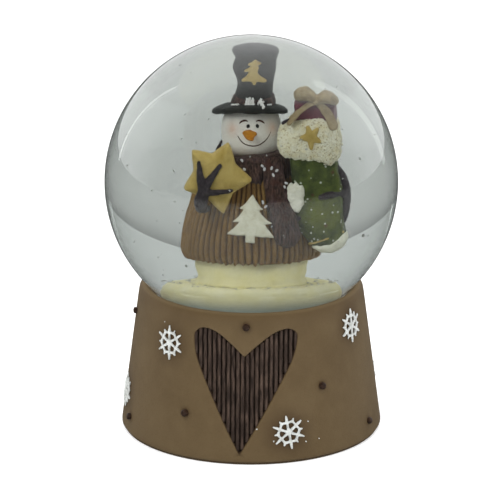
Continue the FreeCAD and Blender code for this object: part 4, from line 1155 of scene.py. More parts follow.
def snow_paint(name, light, shade):
    paint = Paint(name)
    grain = paint.noise(0.6, 4, 0.65)
    cloud = paint.noise(2.4, 3)
    colour = paint.mix(paint.between(cloud, 0.4, 0.72), tone(*light), tone(*shade))
    colour = paint.mix(paint.between(grain, 0.6, 0.78) * 0.4, colour, tone(
        *[c * 0.82 for c in shade]))
    return paint.finish(colour, 0.6, paint.bump(grain, 0.14), Specular_IOR_Level=0.3)


class SNOWGLOBE_OT_head(bpy.types.Operator):
    """Make the head with its painted face and carrot nose"""
    bl_idname = "snowglobe.head"
    bl_label = "Head"

    def execute(self, context):
        skull = ball((0, 0, HEAD_Z), (HEAD_X, HEAD_Y, HEAD_UP), 40)
        points = skull[0]
        drop = np.clip((HEAD_Z - points[:, 2]) / HEAD_UP, 0, 1)
        full = (1 - drop ** JAW) ** (1 / JAW) / np.maximum(np.sqrt(1 - drop ** 2), 1e-3)
        points[:, :2] *= np.where(drop > 0, np.minimum(full, 4.0), 1.0)[:, None]
        high = np.clip((points[:, 2] - 105.0) / 3, 0, 1)
        points[:, 2] -= high * 0.7
        piece("round_head", roughened(skull, 3.5, 0.12, 5), head_paint(), stands_for=["head"])
        nose = fused([rod([head_front(-0.6, 101.7, -0.9), head_front(-0.6, 101.5, 0.3),
                           head_front(-0.3, 101.2, 1.5), head_front(0.0, 101.0, 2.3)],
                          [1.5, 1.55, 1.3, 0.8], 16, 0.8, (1, 0, 0)),
                      ball(head_front(-1.3, 101.8, 0.0), (1.2, 0.9, 0.8), 12),
                      ball(head_front(0.5, 101.6, 0.0), (1.1, 0.9, 0.8), 12)], 0.22, 3)
        piece("carrot", nose, carrot_paint(), stands_for=["carrot_nose"])
        black = Paint("black_eye_enamel")
        speck = black.noise(0.5, 2)
        black = black.finish(black.mix(speck, tone(14, 14, 16), tone(26, 24, 26)), 0.28,
                             black.bump(speck, 0.01))
        eyes = [ball(head_front(x, 103.6, -0.12), (0.55, 0.36, 0.66), 12) for x in (-0.85, 1.6)]
        piece("eyes", joined(eyes), black)
        brows = []
        for ends in (((-3.1, 104.3), (-2.5, 104.8), (-1.7, 105.05), (-1.0, 104.9)),
                     ((1.4, 104.9), (2.1, 105.0), (2.9, 104.7), (3.5, 104.2))):
            path = through([head_front(x, z, 0.0) for x, z in ends], 10)
            brows.append(rod(path, [0.2, 0.3, 0.32, 0.16], 8, 0.6))
        smile = through([head_front(x, z, 0.0) for x, z in
                         ((-3.6, 100.7), (-2.9, 99.6), (-1.6, 98.6), (0.6, 98.1), (2.6, 98.6),
                          (4.2, 99.8), (5.2, 101.5))], 24)
        line = line_paint()
        piece("painted_brows_and_smile", joined(
            brows + [rod(smile, [0.12, 0.17, 0.19, 0.17, 0.1], 6, 0.6)]), line)
        return {"FINISHED"}


def line_paint():
    paint = Paint("brown_face_line")
    mark = paint.noise(0.7, 2)
    return paint.finish(paint.mix(mark, tone(92, 50, 40), tone(52, 30, 24)), 0.55,
                        paint.bump(mark, 0.02))


def head_paint():
    paint = Paint("white_face_resin")
    grain = paint.noise(0.9, 4, 0.6)
    colour = paint.mix(paint.between(grain, 0.5, 0.8) * 0.5, tone(250, 247, 240),
                       tone(216, 208, 192))
    for spot, size in (((-5.4, -5.6, 102.4), 3.4), ((5.9, -5.2, 102.6), 3.2)):
        colour = paint.mix(paint.reach(spot, size) ** 1.4 * 0.55, colour, tone(236, 176, 140))
    # Painted shade: the face darkens towards the chin and towards its right side.
    under = paint.between(paint.axis(2), 97.6 * MM, 94.8 * MM)
    colour = paint.mix(under * 0.6, colour, tone(164, 142, 114))
    edge = paint.between(paint.axis(0), 5.6 * MM, 8.0 * MM)
    colour = paint.mix(edge * 0.45, colour, tone(140, 124, 104))
    return paint.finish(colour, 0.42, paint.bump(grain, 0.05), Specular_IOR_Level=0.4)


def carrot_paint():
    paint = Paint("orange_carrot_resin")
    streak = paint.noise(0.7, 3, 0.6, paint.stretched(0.5, 1, 2.2))
    colour = paint.mix(paint.between(streak, 0.35, 0.7), tone(214, 148, 44), tone(176, 102, 24))
    # Painted shade: the nose's underside is darker.
    low = paint.between(paint.axis(2), 101.2 * MM, 100.2 * MM)
    colour = paint.mix(low * 0.6, colour, tone(132, 68, 18))
    return paint.finish(colour, 0.42, paint.bump(streak, 0.06), Specular_IOR_Level=0.4)


class SNOWGLOBE_OT_hat(bpy.types.Operator):
    """Make the tall hat, its band, gold tree and the snow on its brim"""
    bl_idname = "snowglobe.hat"
    bl_label = "Hat"

    def execute(self, context):
        # Height, left edge and right edge of the crown, from the brim to its flared top.
        edges = [(106.6, -5.7, 6.7), (108.2, -5.2, 6.3), (110.2, -4.4, 5.8), (112.6, -3.9, 5.8),
                 (114.6, -3.8, 6.1), (116.8, -4.5, 6.5), (119.4, -5.3, 6.9), (121.6, -4.9, 7.1),
                 (123.2, -4.5, 7.4), (124.6, -5.0, 7.8), (126.1, -5.7, 8.3), (127.3, -5.6, 8.2),
                 (128.2, -4.9, 7.5), (128.6, -3.7, 6.3)]
        smooth = through([(z, l, r) for z, l, r in edges], 60)
        rings, faces = [], []
        count = 56
        for z, left, right in smooth:
            middle, half = (left + right) / 2, (right - left) / 2
            for step in range(count):
                turn = 2 * math.pi * step / count
                depth = half * 0.9 * math.sin(turn)
                lean = max(0.0, min(1.0, (z - 118) / 8)) * 0.26
                rings.append((middle + half * math.cos(turn), depth, z - lean * depth))
        levels = len(smooth)
        for level in range(levels - 1):
            for step in range(count):
                after = (step + 1) % count
                a = level * count
                faces.append((a + step, a + after, a + count + after, a + count + step))
        middle_top = (smooth[-1][1] + smooth[-1][2]) / 2
        rings.extend([((smooth[0][1] + smooth[0][2]) / 2, 0, smooth[0][0]),
                      (middle_top, 0, smooth[-1][0] - 0.1)])
        low, top = len(rings) - 2, len(rings) - 1
        for step in range(count):
            after = (step + 1) % count
            faces.append((after, step, low))
            faces.append(((levels - 1) * count + step, (levels - 1) * count + after, top))
        felt = hat_paint()
        crown = roughened((np.array(rings), faces), 4.0, 0.22, 6)
        piece("hat_crown_sculpt", crown, felt, stands_for=["hat_crown"])

        tilt = Matrix.Translation(Vector((-0.4, 0, 105.9))) @ Matrix.Rotation(
            math.radians(-18), 4, "X")
        rim = [(0.0, -0.4), (6.0, -0.5), (8.4, -0.85), (9.4, -0.8), (10.0, -0.45), (10.15, 0.0),
               (9.9, 0.55), (9.0, 1.05), (7.6, 1.4), (6.2, 1.5), (0.0, 1.5)]

        def droop(turn, radius, height):
            wave = 0.35 - 0.75 * (radius / 10) ** 2 * math.cos(turn) ** 2
            return (radius * math.cos(turn), radius * math.sin(turn), height + wave)

        brim = roughened(moved(lathe(finer(rim, 0.5), 80, droop), tilt), 3.0, 0.18, 7)
        piece("hat_brim_sculpt", brim, felt, stands_for=["hat_brim"])

        band = []
        strip = [(108.0, 0.22), (108.5, 0.34), (109.3, 0.36), (110.0, 0.3), (110.5, 0.15)]
        for low_z, out in strip:
            left = np.interp(low_z, [e[0] for e in edges], [e[1] for e in edges])
            right = np.interp(low_z, [e[0] for e in edges], [e[2] for e in edges])
            band.append((low_z, (left + right) / 2, (right - left) / 2, out))
        points, faces = [], []
        for z, middle, half, out in band + [(z, m, h, -0.6) for z, m, h, _ in band[::-1]]:
            for step in range(count):
                turn = 2 * math.pi * step / count
                points.append((middle + (half + out) * math.cos(turn),
                               (half * 0.95 + out) * math.sin(turn), z))
        total = len(band) * 2
        for level in range(total):
            for step in range(count):
                after = (step + 1) % count
                a, b = level * count, ((level + 1) % total) * count
                faces.append((a + step, a + after, b + after, b + step))
        piece("hat_band_sculpt", roughened((np.array(points), faces), 1.6, 0.14, 8),
              strand_paint("brown_hat_band", 0.9), stands_for=["hat_band"])

        tree = [(1.3, 125.7), (1.9, 124.7), (3.1, 123.7), (2.2, 123.0), (1.8, 122.8),
                (2.3, 121.8), (2.0, 121.3), (1.8, 120.1), (3.0, 118.4), (4.5, 117.2),
                (3.7, 116.7), (2.3, 116.9), (1.5, 116.9), (1.2, 115.9), (0.5, 115.9),
                (0.1, 116.9), (-1.0, 117.1), (-2.4, 116.9), (-2.9, 117.3), (-1.7, 118.3),
                (-0.9, 119.8), (-0.7, 120.5), (-2.1, 120.4), (-1.9, 120.9), (-0.7, 121.8),
                (0.0, 122.7), (-1.1, 123.0), (-0.7, 123.6), (0.1, 124.0), (0.8, 125.1)]
        badge = moved(pillow(tree, 1.1, 0.4, 0.9, 0.18, 2),
                      Matrix.Translation(Vector((0, -5.1, 0))))
        piece("hat_tree_badge", badge, gold_paint("gold_hat_tree"), stands_for=["hat_tree"])

        dabs = [rod([(-5.4, -4.4, 109.0), (-3.9, -5.6, 109.5)], [0.3, 0.5]),
                rod([(-1.4, -6.4, 109.7), (-1.2, -6.0, 111.6)], [0.45, 0.36]),
                rod([(-0.5, -6.6, 109.7), (-0.4, -6.1, 112.0)], [0.5, 0.3]),
                rod([(0.5, -6.5, 109.7), (0.5, -6.1, 111.5)], [0.4, 0.34]),
                rod([(1.9, -6.3, 110.0), (2.6, -6.1, 111.4)], [0.34, 0.36]),
                rod([(2.5, -6.4, 110.6), (3.3, -6.3, 110.8)], [0.4, 0.34]),
                rod([(2.8, -6.8, 110.2), (3.2, -8.2, 110.5), (3.4, -9.4, 110.4)],
                    [0.4, 0.36, 0.42]),
                rod([(4.7, -5.4, 109.5), (5.5, -4.8, 109.3)], [0.28, 0.32])]
        snow = roughened(fused(dabs, 0.16, 1), 0.5, 0.34, 9)
        piece("hat_snow_dabs", snow, snow_paint("hat_snow_resin", (248, 248, 246),
                                                (226, 226, 222)))
        return {"FINISHED"}


def hat_paint():
    paint = Paint("charcoal_hat_resin")
    brush = paint.noise(2.2, 4, 0.6)
    fine = paint.noise(0.5, 3)
    colour = paint.mix(paint.between(brush, 0.4, 0.75), tone(34, 35, 32), tone(52, 52, 48))
    # Painted highlight: the top of the crown is lighter, where light falls on it.
    top = paint.between(paint.axis(2), 126.8 * MM, 127.8 * MM)
    colour = paint.mix(top, colour, tone(56, 57, 56))
    low = paint.between(paint.axis(2), 110.0 * MM, 107.0 * MM)
    colour = paint.mix(low * 0.6, colour, tone(36, 40, 36))
    colour = paint.mix(paint.between(fine, 0.6, 0.8) * 0.3, colour, tone(78, 78, 74))
    return paint.finish(colour, 0.5, paint.bump(fine * 0.5 + brush, 0.1), Specular_IOR_Level=0.15)


def gold_paint(name):
    paint = Paint(name)
    wash = paint.noise(3.4, 4, 0.6)
    fine = paint.noise(0.6, 3)
    colour = paint.mix(paint.between(wash, 0.35, 0.72), tone(212, 188, 114), tone(178, 152, 78))
    colour = paint.mix(paint.between(fine, 0.58, 0.78) * 0.35, colour, tone(144, 114, 54))
    return paint.finish(colour, 0.48, paint.bump(fine, 0.07), Specular_IOR_Level=0.4)


def strand_paint(name, size=0.5):
    paint = Paint(name)
    strand = paint.noise(size, 4, 0.65, paint.stretched(1, 1, 0.12))
    patch = paint.noise(2.6, 3)
    colour = paint.mix(paint.between(strand, 0.4, 0.62), tone(34, 22, 18), tone(94, 72, 64))
    colour = paint.mix(paint.between(patch, 0.5, 0.75) * 0.6, colour, tone(92, 76, 82))
    red = paint.noise(3.5, 2)
    colour = paint.mix(paint.between(red, 0.55, 0.7) * 0.5, colour, tone(74, 40, 29))
    return paint.finish(colour, 0.55, paint.bump(strand, 0.3), Specular_IOR_Level=0.35)


class SNOWGLOBE_OT_scarf(bpy.types.Operator):
    """Make the straw scarf, its wrap, tail and loose strands"""
    bl_idname = "snowglobe.scarf"
    bl_label = "Scarf"

    def execute(self, context):
        profile = [(5.0, 94.4), (7.6, 95.4), (9.2, 95.2), (10.5, 94.4), (11.3, 93.0),
                   (11.7, 91.6), (11.6, 89.6), (10.9, 88.3), (9.6, 88.0), (5.0, 90.0)]

        def sag(turn, height):
            """How much lower the scarf lies at the back and on the star's side."""
            share = min(1.0, max(0.0, (height - 88) / 6))
            return share * (3.6 * max(0.0, math.sin(turn)) + 1.4 * max(0.0, -math.cos(turn)))

        def fold(turn, radius, height):
            crease = noise.noise(Vector((math.cos(turn) * 7, math.sin(turn) * 7, 1.0)))
            fine = noise.noise(Vector((math.cos(turn) * 22, math.sin(turn) * 22,
                                       height * 0.15)))
            weight = min(1.0, max(0.0, (radius - 6) / 4))
            out = radius + (crease * 1.0 + fine * 0.55) * weight
            front = max(0.0, -math.sin(turn))
            lift = (height - 92) * 0.1 * front - (0.5 * front if height < 92 else 0)
            return (out * math.cos(turn) * 1.02, out * math.sin(turn),
                    height + lift - sag(turn, height))

        wrap = lathe(finer(profile, 0.55), 150, fold)
        paint = strand_paint("brown_straw_scarf")
        lines = []
        rng = np.random.default_rng(12)
        for _ in range(150):
            turn = rng.uniform(0, 2 * math.pi)
            start = rng.uniform(88.4, 93.0)
            run = rng.uniform(2.5, 6.0)
            line = []
            for step in range(5):
                height = min(start + run * step / 4, 94.9)
                out = float(np.interp(height, [88.0, 89.6, 91.6, 93.0, 94.4, 95.3],
                                      [10.6, 11.6, 11.75, 11.4, 10.6, 9.3]))
                angle = turn + 0.05 * math.sin(step + turn * 9)
                line.append((out * math.cos(angle) * 1.02, out * math.sin(angle),
                             height - sag(turn, height)))
            lines.append(line)
        strands = rods(lines, 0.28, paint, 7, spacing=0.9, wander=0.5, wander_size=2.0,
                       uneven=0.5, sides=5)
        piece("scarf_wrap_sculpt", joined([wrap, strands]), paint, stands_for=["scarf_wrap"])
        path = through([(6.0, -10.8, 94.0), (6.4, -12.4, 90.0), (7.3, -13.9, 85.5),
                        (8.6, -15.3, 80.6), (9.9, -15.9, 75.4)], 22)
        tail = rod(path, [2.6, 3.0, 3.3, 3.6, 3.9], 28, 0.36, (1, 0, 0))
        tail = roughened(tail, 1.4, 0.35, 4)
        lines = []
        for _ in range(46):
            offset = rng.uniform(-0.95, 0.95)
            first = rng.uniform(0, 0.6)
            run = rng.uniform(0.2, 0.4)
            line = []
            for step in range(6):
                place = min(first + run * step / 5, 1.0) * (len(path) - 1)
                spot = path[int(place)]
                width = np.interp(place / (len(path) - 1), [0, 1], [2.6, 3.9])
                depth = width * 0.36 * math.sqrt(max(0.0, 1 - offset ** 2))
                line.append((spot.x + offset * width, spot.y - depth, spot.z))
            lines.append(line)
        strands = rods(lines, 0.27, paint, 8, spacing=0.9, wander=0.4, wander_size=2.2,
                       uneven=0.5, sides=5)
        piece("scarf_tail_sculpt", joined([tail, strands]), paint, stands_for=["scarf_tail"])
        flecks = []
        for x, y, z in ((-2.6, -11.4, 95.2), (-1.9, -11.8, 92.8), (3.0, -12.4, 93.9),
                        (3.6, -12.2, 93.0), (5.6, -12.8, 93.4), (7.0, -12.6, 92.6),
                        (6.0, -13.4, 91.6), (9.6, -13.6, 89.4), (9.2, -13.9, 88.3),
                        (9.0, -14.6, 84.8), (8.7, -14.8, 83.4), (9.2, -15.0, 82.3),
                        (8.6, -15.3, 80.0), (8.0, -15.7, 78.4), (3.2, -15.4, 84.4),
                        (4.0, -15.6, 83.2)):
            flecks.append(ball((x, y, z), (0.34, 0.2, 0.55), 6,
                               Matrix.Rotation(x * 3 + z, 3, "Y").to_4x4()))
        piece("scarf_snow_flecks", roughened(joined(flecks), 0.6, 0.12, 3),
              snow_paint("scarf_fleck_resin", (244, 244, 244), (206, 206, 212)))
        return {"FINISHED"}


def twig_paint(name="charcoal_twig_resin"):
    paint = Paint(name)
    bark = paint.noise(0.8, 4, 0.6)
    colour = paint.mix(paint.between(bark, 0.4, 0.75), tone(44, 38, 42), tone(78, 70, 74))
    return paint.finish(colour, 0.5, paint.bump(bark, 0.15), Specular_IOR_Level=0.4)


class SNOWGLOBE_OT_star(bpy.types.Operator):
    """Make the puffed gold star and the twig hand that holds it"""
    bl_idname = "snowglobe.star"
    bl_label = "Star And Hand"

    def execute(self, context):
        tips = [(-16.8, 98.8), (-6.2, 101.1), (0.2, 90.2), (-7.6, 80.8), (-18.8, 87.6)]
        outline = star((-9.7, 91.2), tips, 6.5)
        shape = pillow(outline, 2.6, 1.9, 4.2, 0.32, 9)
        shape = moved(roughened(shape, 4.0, 0.18, 2),
                      Matrix.Translation(Vector((0, -13.3, 0))))
        piece("puffed_star", shape, gold_paint("gold_star_resin"), stands_for=["gold_star"])
        palm = Vector((-13.4, -16.5, 87.4))
        fingers = [([(-12.2, -11.0, 81.6), (-13.6, -14.6, 82.4), (-14.1, -16.2, 84.6), palm],
                    [1.3, 1.8, 2.1, 1.8]),
                   ([palm, (-14.3, -16.9, 91.4), (-14.9, -16.3, 96.2)], [1.5, 1.25, 0.55]),
                   ([palm, (-11.8, -17.0, 91.0), (-8.8, -16.6, 95.2)], [1.5, 1.2, 0.65]),
                   ([palm, (-9.8, -17.1, 87.6), (-5.5, -16.6, 88.0)], [1.5, 1.15, 0.7])]
        parts = [rod(through(path, 10), sizes, 12, 0.75, (1, 0, 0)) for path, sizes in fingers]
        hand = roughened(fused(parts, 0.26, 2), 1.2, 0.16, 5)
        behind = rod([(-9.2, -10.0, 98.0), (-8.2, -9.6, 100.2)], [0.6, 0.35])
        piece("left_twig_hand_sculpt", joined([hand, behind]), twig_paint(),
              stands_for=["left_twig_hand"])
        return {"FINISHED"}


class SNOWGLOBE_OT_stocking(bpy.types.Operator):
    """Make the green stocking, its toe, fleecy cuff and snow clump"""
    bl_idname = "snowglobe.stocking"
    bl_label = "Stocking"

    def execute(self, context):
        leg = [(10.4, 97.0), (11.0, 90.0), (11.3, 84.0), (11.8, 79.0), (13.1, 75.2),
               (15.6, 71.9), (18.8, 69.9), (22.2, 69.3), (24.8, 70.9), (25.4, 74.0),
               (24.9, 78.0), (25.2, 82.5), (25.1, 87.0), (24.2, 91.5), (23.0, 97.0)]
        shape = pillow(leg, 5.2, 2.2, 5.0, 0.36, 8)
        shape = moved(roughened(shape, 3.0, 0.25, 3),
                      Matrix.Translation(Vector((0, -9.2, 0))))
        piece("green_stocking", shape, stocking_paint(), stands_for=["stocking"])
        toe = [(16.2, 71.2), (20.5, 72.5), (25.7, 74.3), (25.9, 72.4), (25.0, 70.3),
               (22.2, 68.9), (18.7, 69.5), (16.8, 70.5)]
        cap = pillow(toe, 6.0, 1.6, 2.4, 0.3, 5)
        cap = moved(roughened(cap, 1.8, 0.16, 6), Matrix.Translation(Vector((0, -9.2, 0))))
        piece("stocking_toe_cap", cap, snow_paint("cream_toe_resin", (255, 255, 236),
                                                  (236, 236, 214)),
              stands_for=["stocking_toe"])
        piping = rod(through([(15.8, -12.6, 72.0), (18.4, -13.3, 72.7), (21.4, -13.5, 73.6),
                              (25.3, -11.6, 74.9)], 16), 0.4, 8)
        piece("toe_piping", roughened(piping, 1.0, 0.1, 2), gold_paint("gold_toe_line"))

        cuff = [(7.7, 102.8), (7.5, 99.7), (8.9, 97.0), (12.0, 96.1), (17.8, 95.6),
                (22.2, 94.2), (24.6, 96.3), (25.0, 101.3), (24.4, 106.3), (20.6, 109.0),
                (14.0, 108.3), (9.2, 105.2)]
        soft = pillow(cuff, 6.4, 2.4, 4.5, 0.34, 5)
        soft = moved(soft, Matrix.Translation(Vector((0, -9.4, 0))))
        fleece = roughened(roughened(soft, 0.95, 0.28, 5, 2), 0.5, 0.14, 8, 1)
        cream = cuff_paint()
        curl = []
        for step in range(7):
            turn = 0.8 * math.pi * step / 6 * 1.6
            curl.append((0.52 * math.cos(turn), 0.52 * math.sin(turn), 0.05 + 0.02 * step))
        worm = rod(curl, [0.14, 0.2, 0.2, 0.14], 5)
        spots, facings = spots_on(fleece, 1500, 21, lambda p, n: n[1] < 0.5 or p[0] > 20)
        loops = copies(worm, spots, facings, cream, 5, 0.5, 0.95)
        piece("fleecy_cuff", joined([fleece, loops]), cream, stands_for=["stocking_cuff"])
        tips = [(16.1, 107.1), (19.5, 106.5), (20.2, 101.8), (17.0, 99.3), (13.6, 103.0)]
        badge = pillow(star((17.2, 103.5), tips, 1.9), 1.3, 0.5, 1.2, 0.2, 2)
        badge = moved(badge, Matrix.Translation(Vector((0, -14.6, 0))))
        piece("cuff_star_badge", badge, gold_paint("gold_cuff_star"), stands_for=["cuff_star"])
        clump = [(10.0, 88.6), (10.8, 89.6), (11.6, 88.7), (12.4, 89.9), (13.2, 88.6),
                 (14.2, 89.0), (14.6, 86.6), (14.4, 83.6), (13.0, 81.0), (11.0, 82.0),
                 (10.0, 84.6)]
        mound = pillow(clump, 2.0, 0.9, 2.0, 0.26, 3)
        mound = moved(roughened(mound, 0.9, 0.3, 7),
                      Matrix.Translation(Vector((0, -13.9, 0))))
        piece("snow_clump_sculpt", mound, snow_paint("clump_snow_resin", (255, 254, 240),
                                                     (234, 232, 212)),
              stands_for=["snow_clump"])
        return {"FINISHED"}


def stocking_paint():
    paint = Paint("mottled_green_resin")
    patch = paint.noise(3.6, 4, 0.6)
    fine = paint.noise(0.7, 3)
    colour = paint.mix(paint.between(patch, 0.38, 0.7), tone(58, 69, 34), tone(100, 111, 50))
    # Painted shade on the left side by the jumper, and a painted highlight on the stocking's
    # swollen middle.
    left = paint.between(paint.axis(0), 13.6 * MM, 10.4 * MM)
    colour = paint.mix(left * 0.7, colour, tone(58, 66, 50))
    colour = paint.mix(paint.reach((19.5, -13.5, 80.5), 6.5) * 0.5, colour, tone(134, 141, 54))
    for spot in ((16.4, -13.4, 84.6), (17.0, -13.4, 86.0), (16.0, -13.2, 79.4),
                 (20.6, -13.4, 77.2), (22.6, -12.8, 92.4)):
        colour = paint.mix(paint.between(paint.reach(spot, 1.1), 0.2, 0.6) * 0.8, colour,
                           tone(92, 34, 36))
    dark = paint.noise(1.6, 3)
    colour = paint.mix(paint.between(dark, 0.58, 0.7) * 0.6, colour, tone(40, 48, 30))
    fleck = paint.cells(1.9)
    colour = paint.mix(paint.between(fleck, 0.2, 0.12) * 0.8, colour, tone(216, 220, 208))
    return paint.finish(colour, 0.5, paint.bump(fine + patch, 0.14), Specular_IOR_Level=0.35)


def cuff_paint():
    paint = Paint("cream_fleece_resin")
    cloud = paint.noise(2.4, 3)
    colour = paint.mix(paint.between(cloud, 0.4, 0.7), tone(255, 253, 232), tone(248, 240, 206))
    # Painted shade: dark pits between the fleece's loops.
    pit = paint.cells(0.7)
    gap = paint.between(pit, 0.36, 0.2) * paint.between(paint.noise(1.3, 2), 0.38, 0.48)
    colour = paint.mix(gap * 0.8, colour, tone(134, 108, 64))
    return paint.finish(colour, 0.72, paint.bump(paint.noise(0.5, 3), 0.22),
                        Specular_IOR_Level=0.2)


class SNOWGLOBE_OT_gift(bpy.types.Operator):
    """Make the gift, its ribbon bow and the twig hand at the stocking's side"""
    bl_idname = "snowglobe.gift"
    bl_label = "Gift And Bow"

    def execute(self, context):
        box = [(12.2, 105.4), (24.2, 105.2), (24.6, 112.4), (18.4, 113.5), (12.3, 112.8)]
        parcel = pillow(box, 7.0, 0.8, 2.5, 0.36, 3)
        parcel = moved(roughened(parcel, 2.6, 0.18, 4),
                       Matrix.Translation(Vector((0, -9.0, 0))))
        piece("burgundy_parcel", parcel, gift_paint(), stands_for=["gift_box"])
        knot = Vector((19.2, -13.3, 114.2))
        loops = []
        for path, sizes in (
                ([knot, (18.0, -13.0, 115.6), (15.9, -12.2, 116.5), (14.4, -11.2, 115.5)],
                 [0.8, 2.0, 2.8, 2.3]),
                ([knot, (20.6, -13.0, 115.2), (22.9, -12.2, 115.8), (24.4, -11.2, 114.8)],
                 [0.8, 1.9, 2.7, 2.2])):
            loops.append(rod(through(path, 12), sizes, 22, 0.9, (0, 1, 0)))
        puffs = fused(loops, 0.3, 3)
        tails = []
        for path, sizes in (
                ([knot, (16.4, -13.8, 113.0), (13.6, -14.2, 110.8), (11.4, -14.6, 108.4)],
                 [0.9, 1.5, 1.7, 1.8]),
                ([knot, (21.4, -13.6, 112.4), (23.1, -14.0, 109.8), (23.9, -14.4, 107.2)],
                 [0.9, 1.5, 1.65, 1.65])):
            line = through(path, 14)
            tails.append(rod(line, sizes, 14, 0.24, (1, 0, 0.35)))
        centre = ball(tuple(knot + Vector((0, -0.5, 0.2))), (1.0, 0.9, 0.9), 14)
        creased = roughened(joined([puffs, *tails, centre]), 1.8, 0.2, 6)
        piece("ribbon_bow", creased, ribbon_paint(), stands_for=["gift_bow"])
        parts = [rod(through([(21.6, -7.8, 93.4), (24.2, -8.6, 90.6), (25.7, -9.0, 86.6),
                              (25.8, -9.2, 82.0), (25.0, -8.6, 77.6)], 16),
                     [1.2, 1.5, 1.6, 1.4, 0.9], 12),
                 rod(through([(25.2, -9.8, 85.2), (23.4, -12.4, 86.0), (21.4, -13.6, 86.0),
                              (19.2, -14.0, 85.4)], 10), [1.3, 1.25, 1.2, 0.8], 12),
                 rod(through([(9.4, -14.0, 78.0), (11.4, -13.8, 79.2), (13.2, -13.7, 79.4)], 8),
                     [1.0, 0.9, 0.5], 12)]
        tip = rod(through([(8.9, -13.4, 106.8), (9.6, -13.8, 107.7), (10.9, -13.9, 108.1),
                           (11.6, -13.9, 107.6)], 10), [0.4, 0.6, 0.6, 0.45], 10)
        hand = roughened(fused(parts + [tip], 0.28, 2), 1.3, 0.2, 8)
        piece("right_twig_hand_sculpt", hand, twig_paint("black_twig_resin"),
              stands_for=["right_twig_hand"])
        return {"FINISHED"}


def gift_paint():
    paint = Paint("burgundy_gift_resin")
    wash = paint.noise(2.4, 4, 0.6)
    colour = paint.mix(paint.between(wash, 0.35, 0.7), tone(108, 44, 60), tone(80, 32, 45))
    return paint.finish(colour, 0.42, paint.bump(wash, 0.1), Specular_IOR_Level=0.4)


def ribbon_paint():
    paint = Paint("tan_ribbon_resin")
    wash = paint.noise(2.2, 4, 0.6)
    fine = paint.noise(0.5, 2)
    colour = paint.mix(paint.between(wash, 0.35, 0.7), tone(176, 160, 124), tone(140, 121, 88))
    low = paint.between(paint.axis(2), 115.4 * MM, 114.2 * MM)
    high = paint.between(paint.axis(2), 113.0 * MM, 113.8 * MM)
    colour = paint.mix(low * high * 0.3, colour, tone(190, 178, 152))
    return paint.finish(colour, 0.52, paint.bump(fine + wash, 0.12), Specular_IOR_Level=0.35)


class SNOWGLOBE_OT_flakes(bpy.types.Operator):
    """Scatter loose white flakes in the liquid and on the ground"""
    bl_idname = "snowglobe.flakes"
    bl_label = "Loose Flakes"

    def execute(self, context):
        count = context.scene.snowglobe_globe.flake_count
        rng = np.random.default_rng(31)
        spots = []
        while len(spots) < count:
            spot = rng.uniform(-1, 1, 3) * 44
            radius = math.hypot(spot[0], spot[1])
            height = BALL_Z + spot[2]
            if np.linalg.norm(spot) > 44.5 or height < 62 or height > 126:
                continue
            in_figure = radius < 19 and height < 120
            in_stocking = 4 < spot[0] < 29 and -19 < spot[1] < 2
            if in_figure or in_stocking:
                continue
            spots.append((spot[0], spot[1], height))
        high = span("snow_ground")[1]
        for _ in range(count * 2):
            turn, radius = rng.uniform(0, 2 * math.pi), high.x * math.sqrt(rng.uniform(0.3, 0.97))
            spots.append((radius * math.cos(turn), radius * math.sin(turn), high.z - 0.35))
        facings = rng.normal(size=(len(spots), 3))
        facings[count:] = (0, 0, 1)
        chip = ball((0, 0, 0), (0.42, 0.3, 0.12), 5)
        white = flake_paint("loose_flake_plastic")
        piece("loose_flakes", copies(chip, spots, facings, white, 17, 0.45, 1.25), white)
        return {"FINISHED"}


# ---------------------------------------------------------------- finishes for the kept parts

def metal_paint(name, light, dark, rough, scratch=0.9):
    paint = Paint(name)
    lines = paint.noise(scratch, 4, 0.7, paint.stretched(1, 0.12, 1))
    stain = paint.noise(3.5, 3)
    colour = paint.mix(paint.between(stain, 0.4, 0.75), tone(*light), tone(*dark))
    return paint.finish(colour, paint.between(lines, 0.25, 0.8) * 0.16 + rough,
                        paint.bump(lines, 0.02), Metallic=1.0)


def plain_paint(name, light, dark, rough, size=1.0, depth=0.08):
    paint = Paint(name)
    grain = paint.noise(size, 4, 0.65)
    colour = paint.mix(paint.between(grain, 0.35, 0.7), tone(*light), tone(*dark))
    return paint.finish(colour, rough, paint.bump(grain, depth), Specular_IOR_Level=0.3)


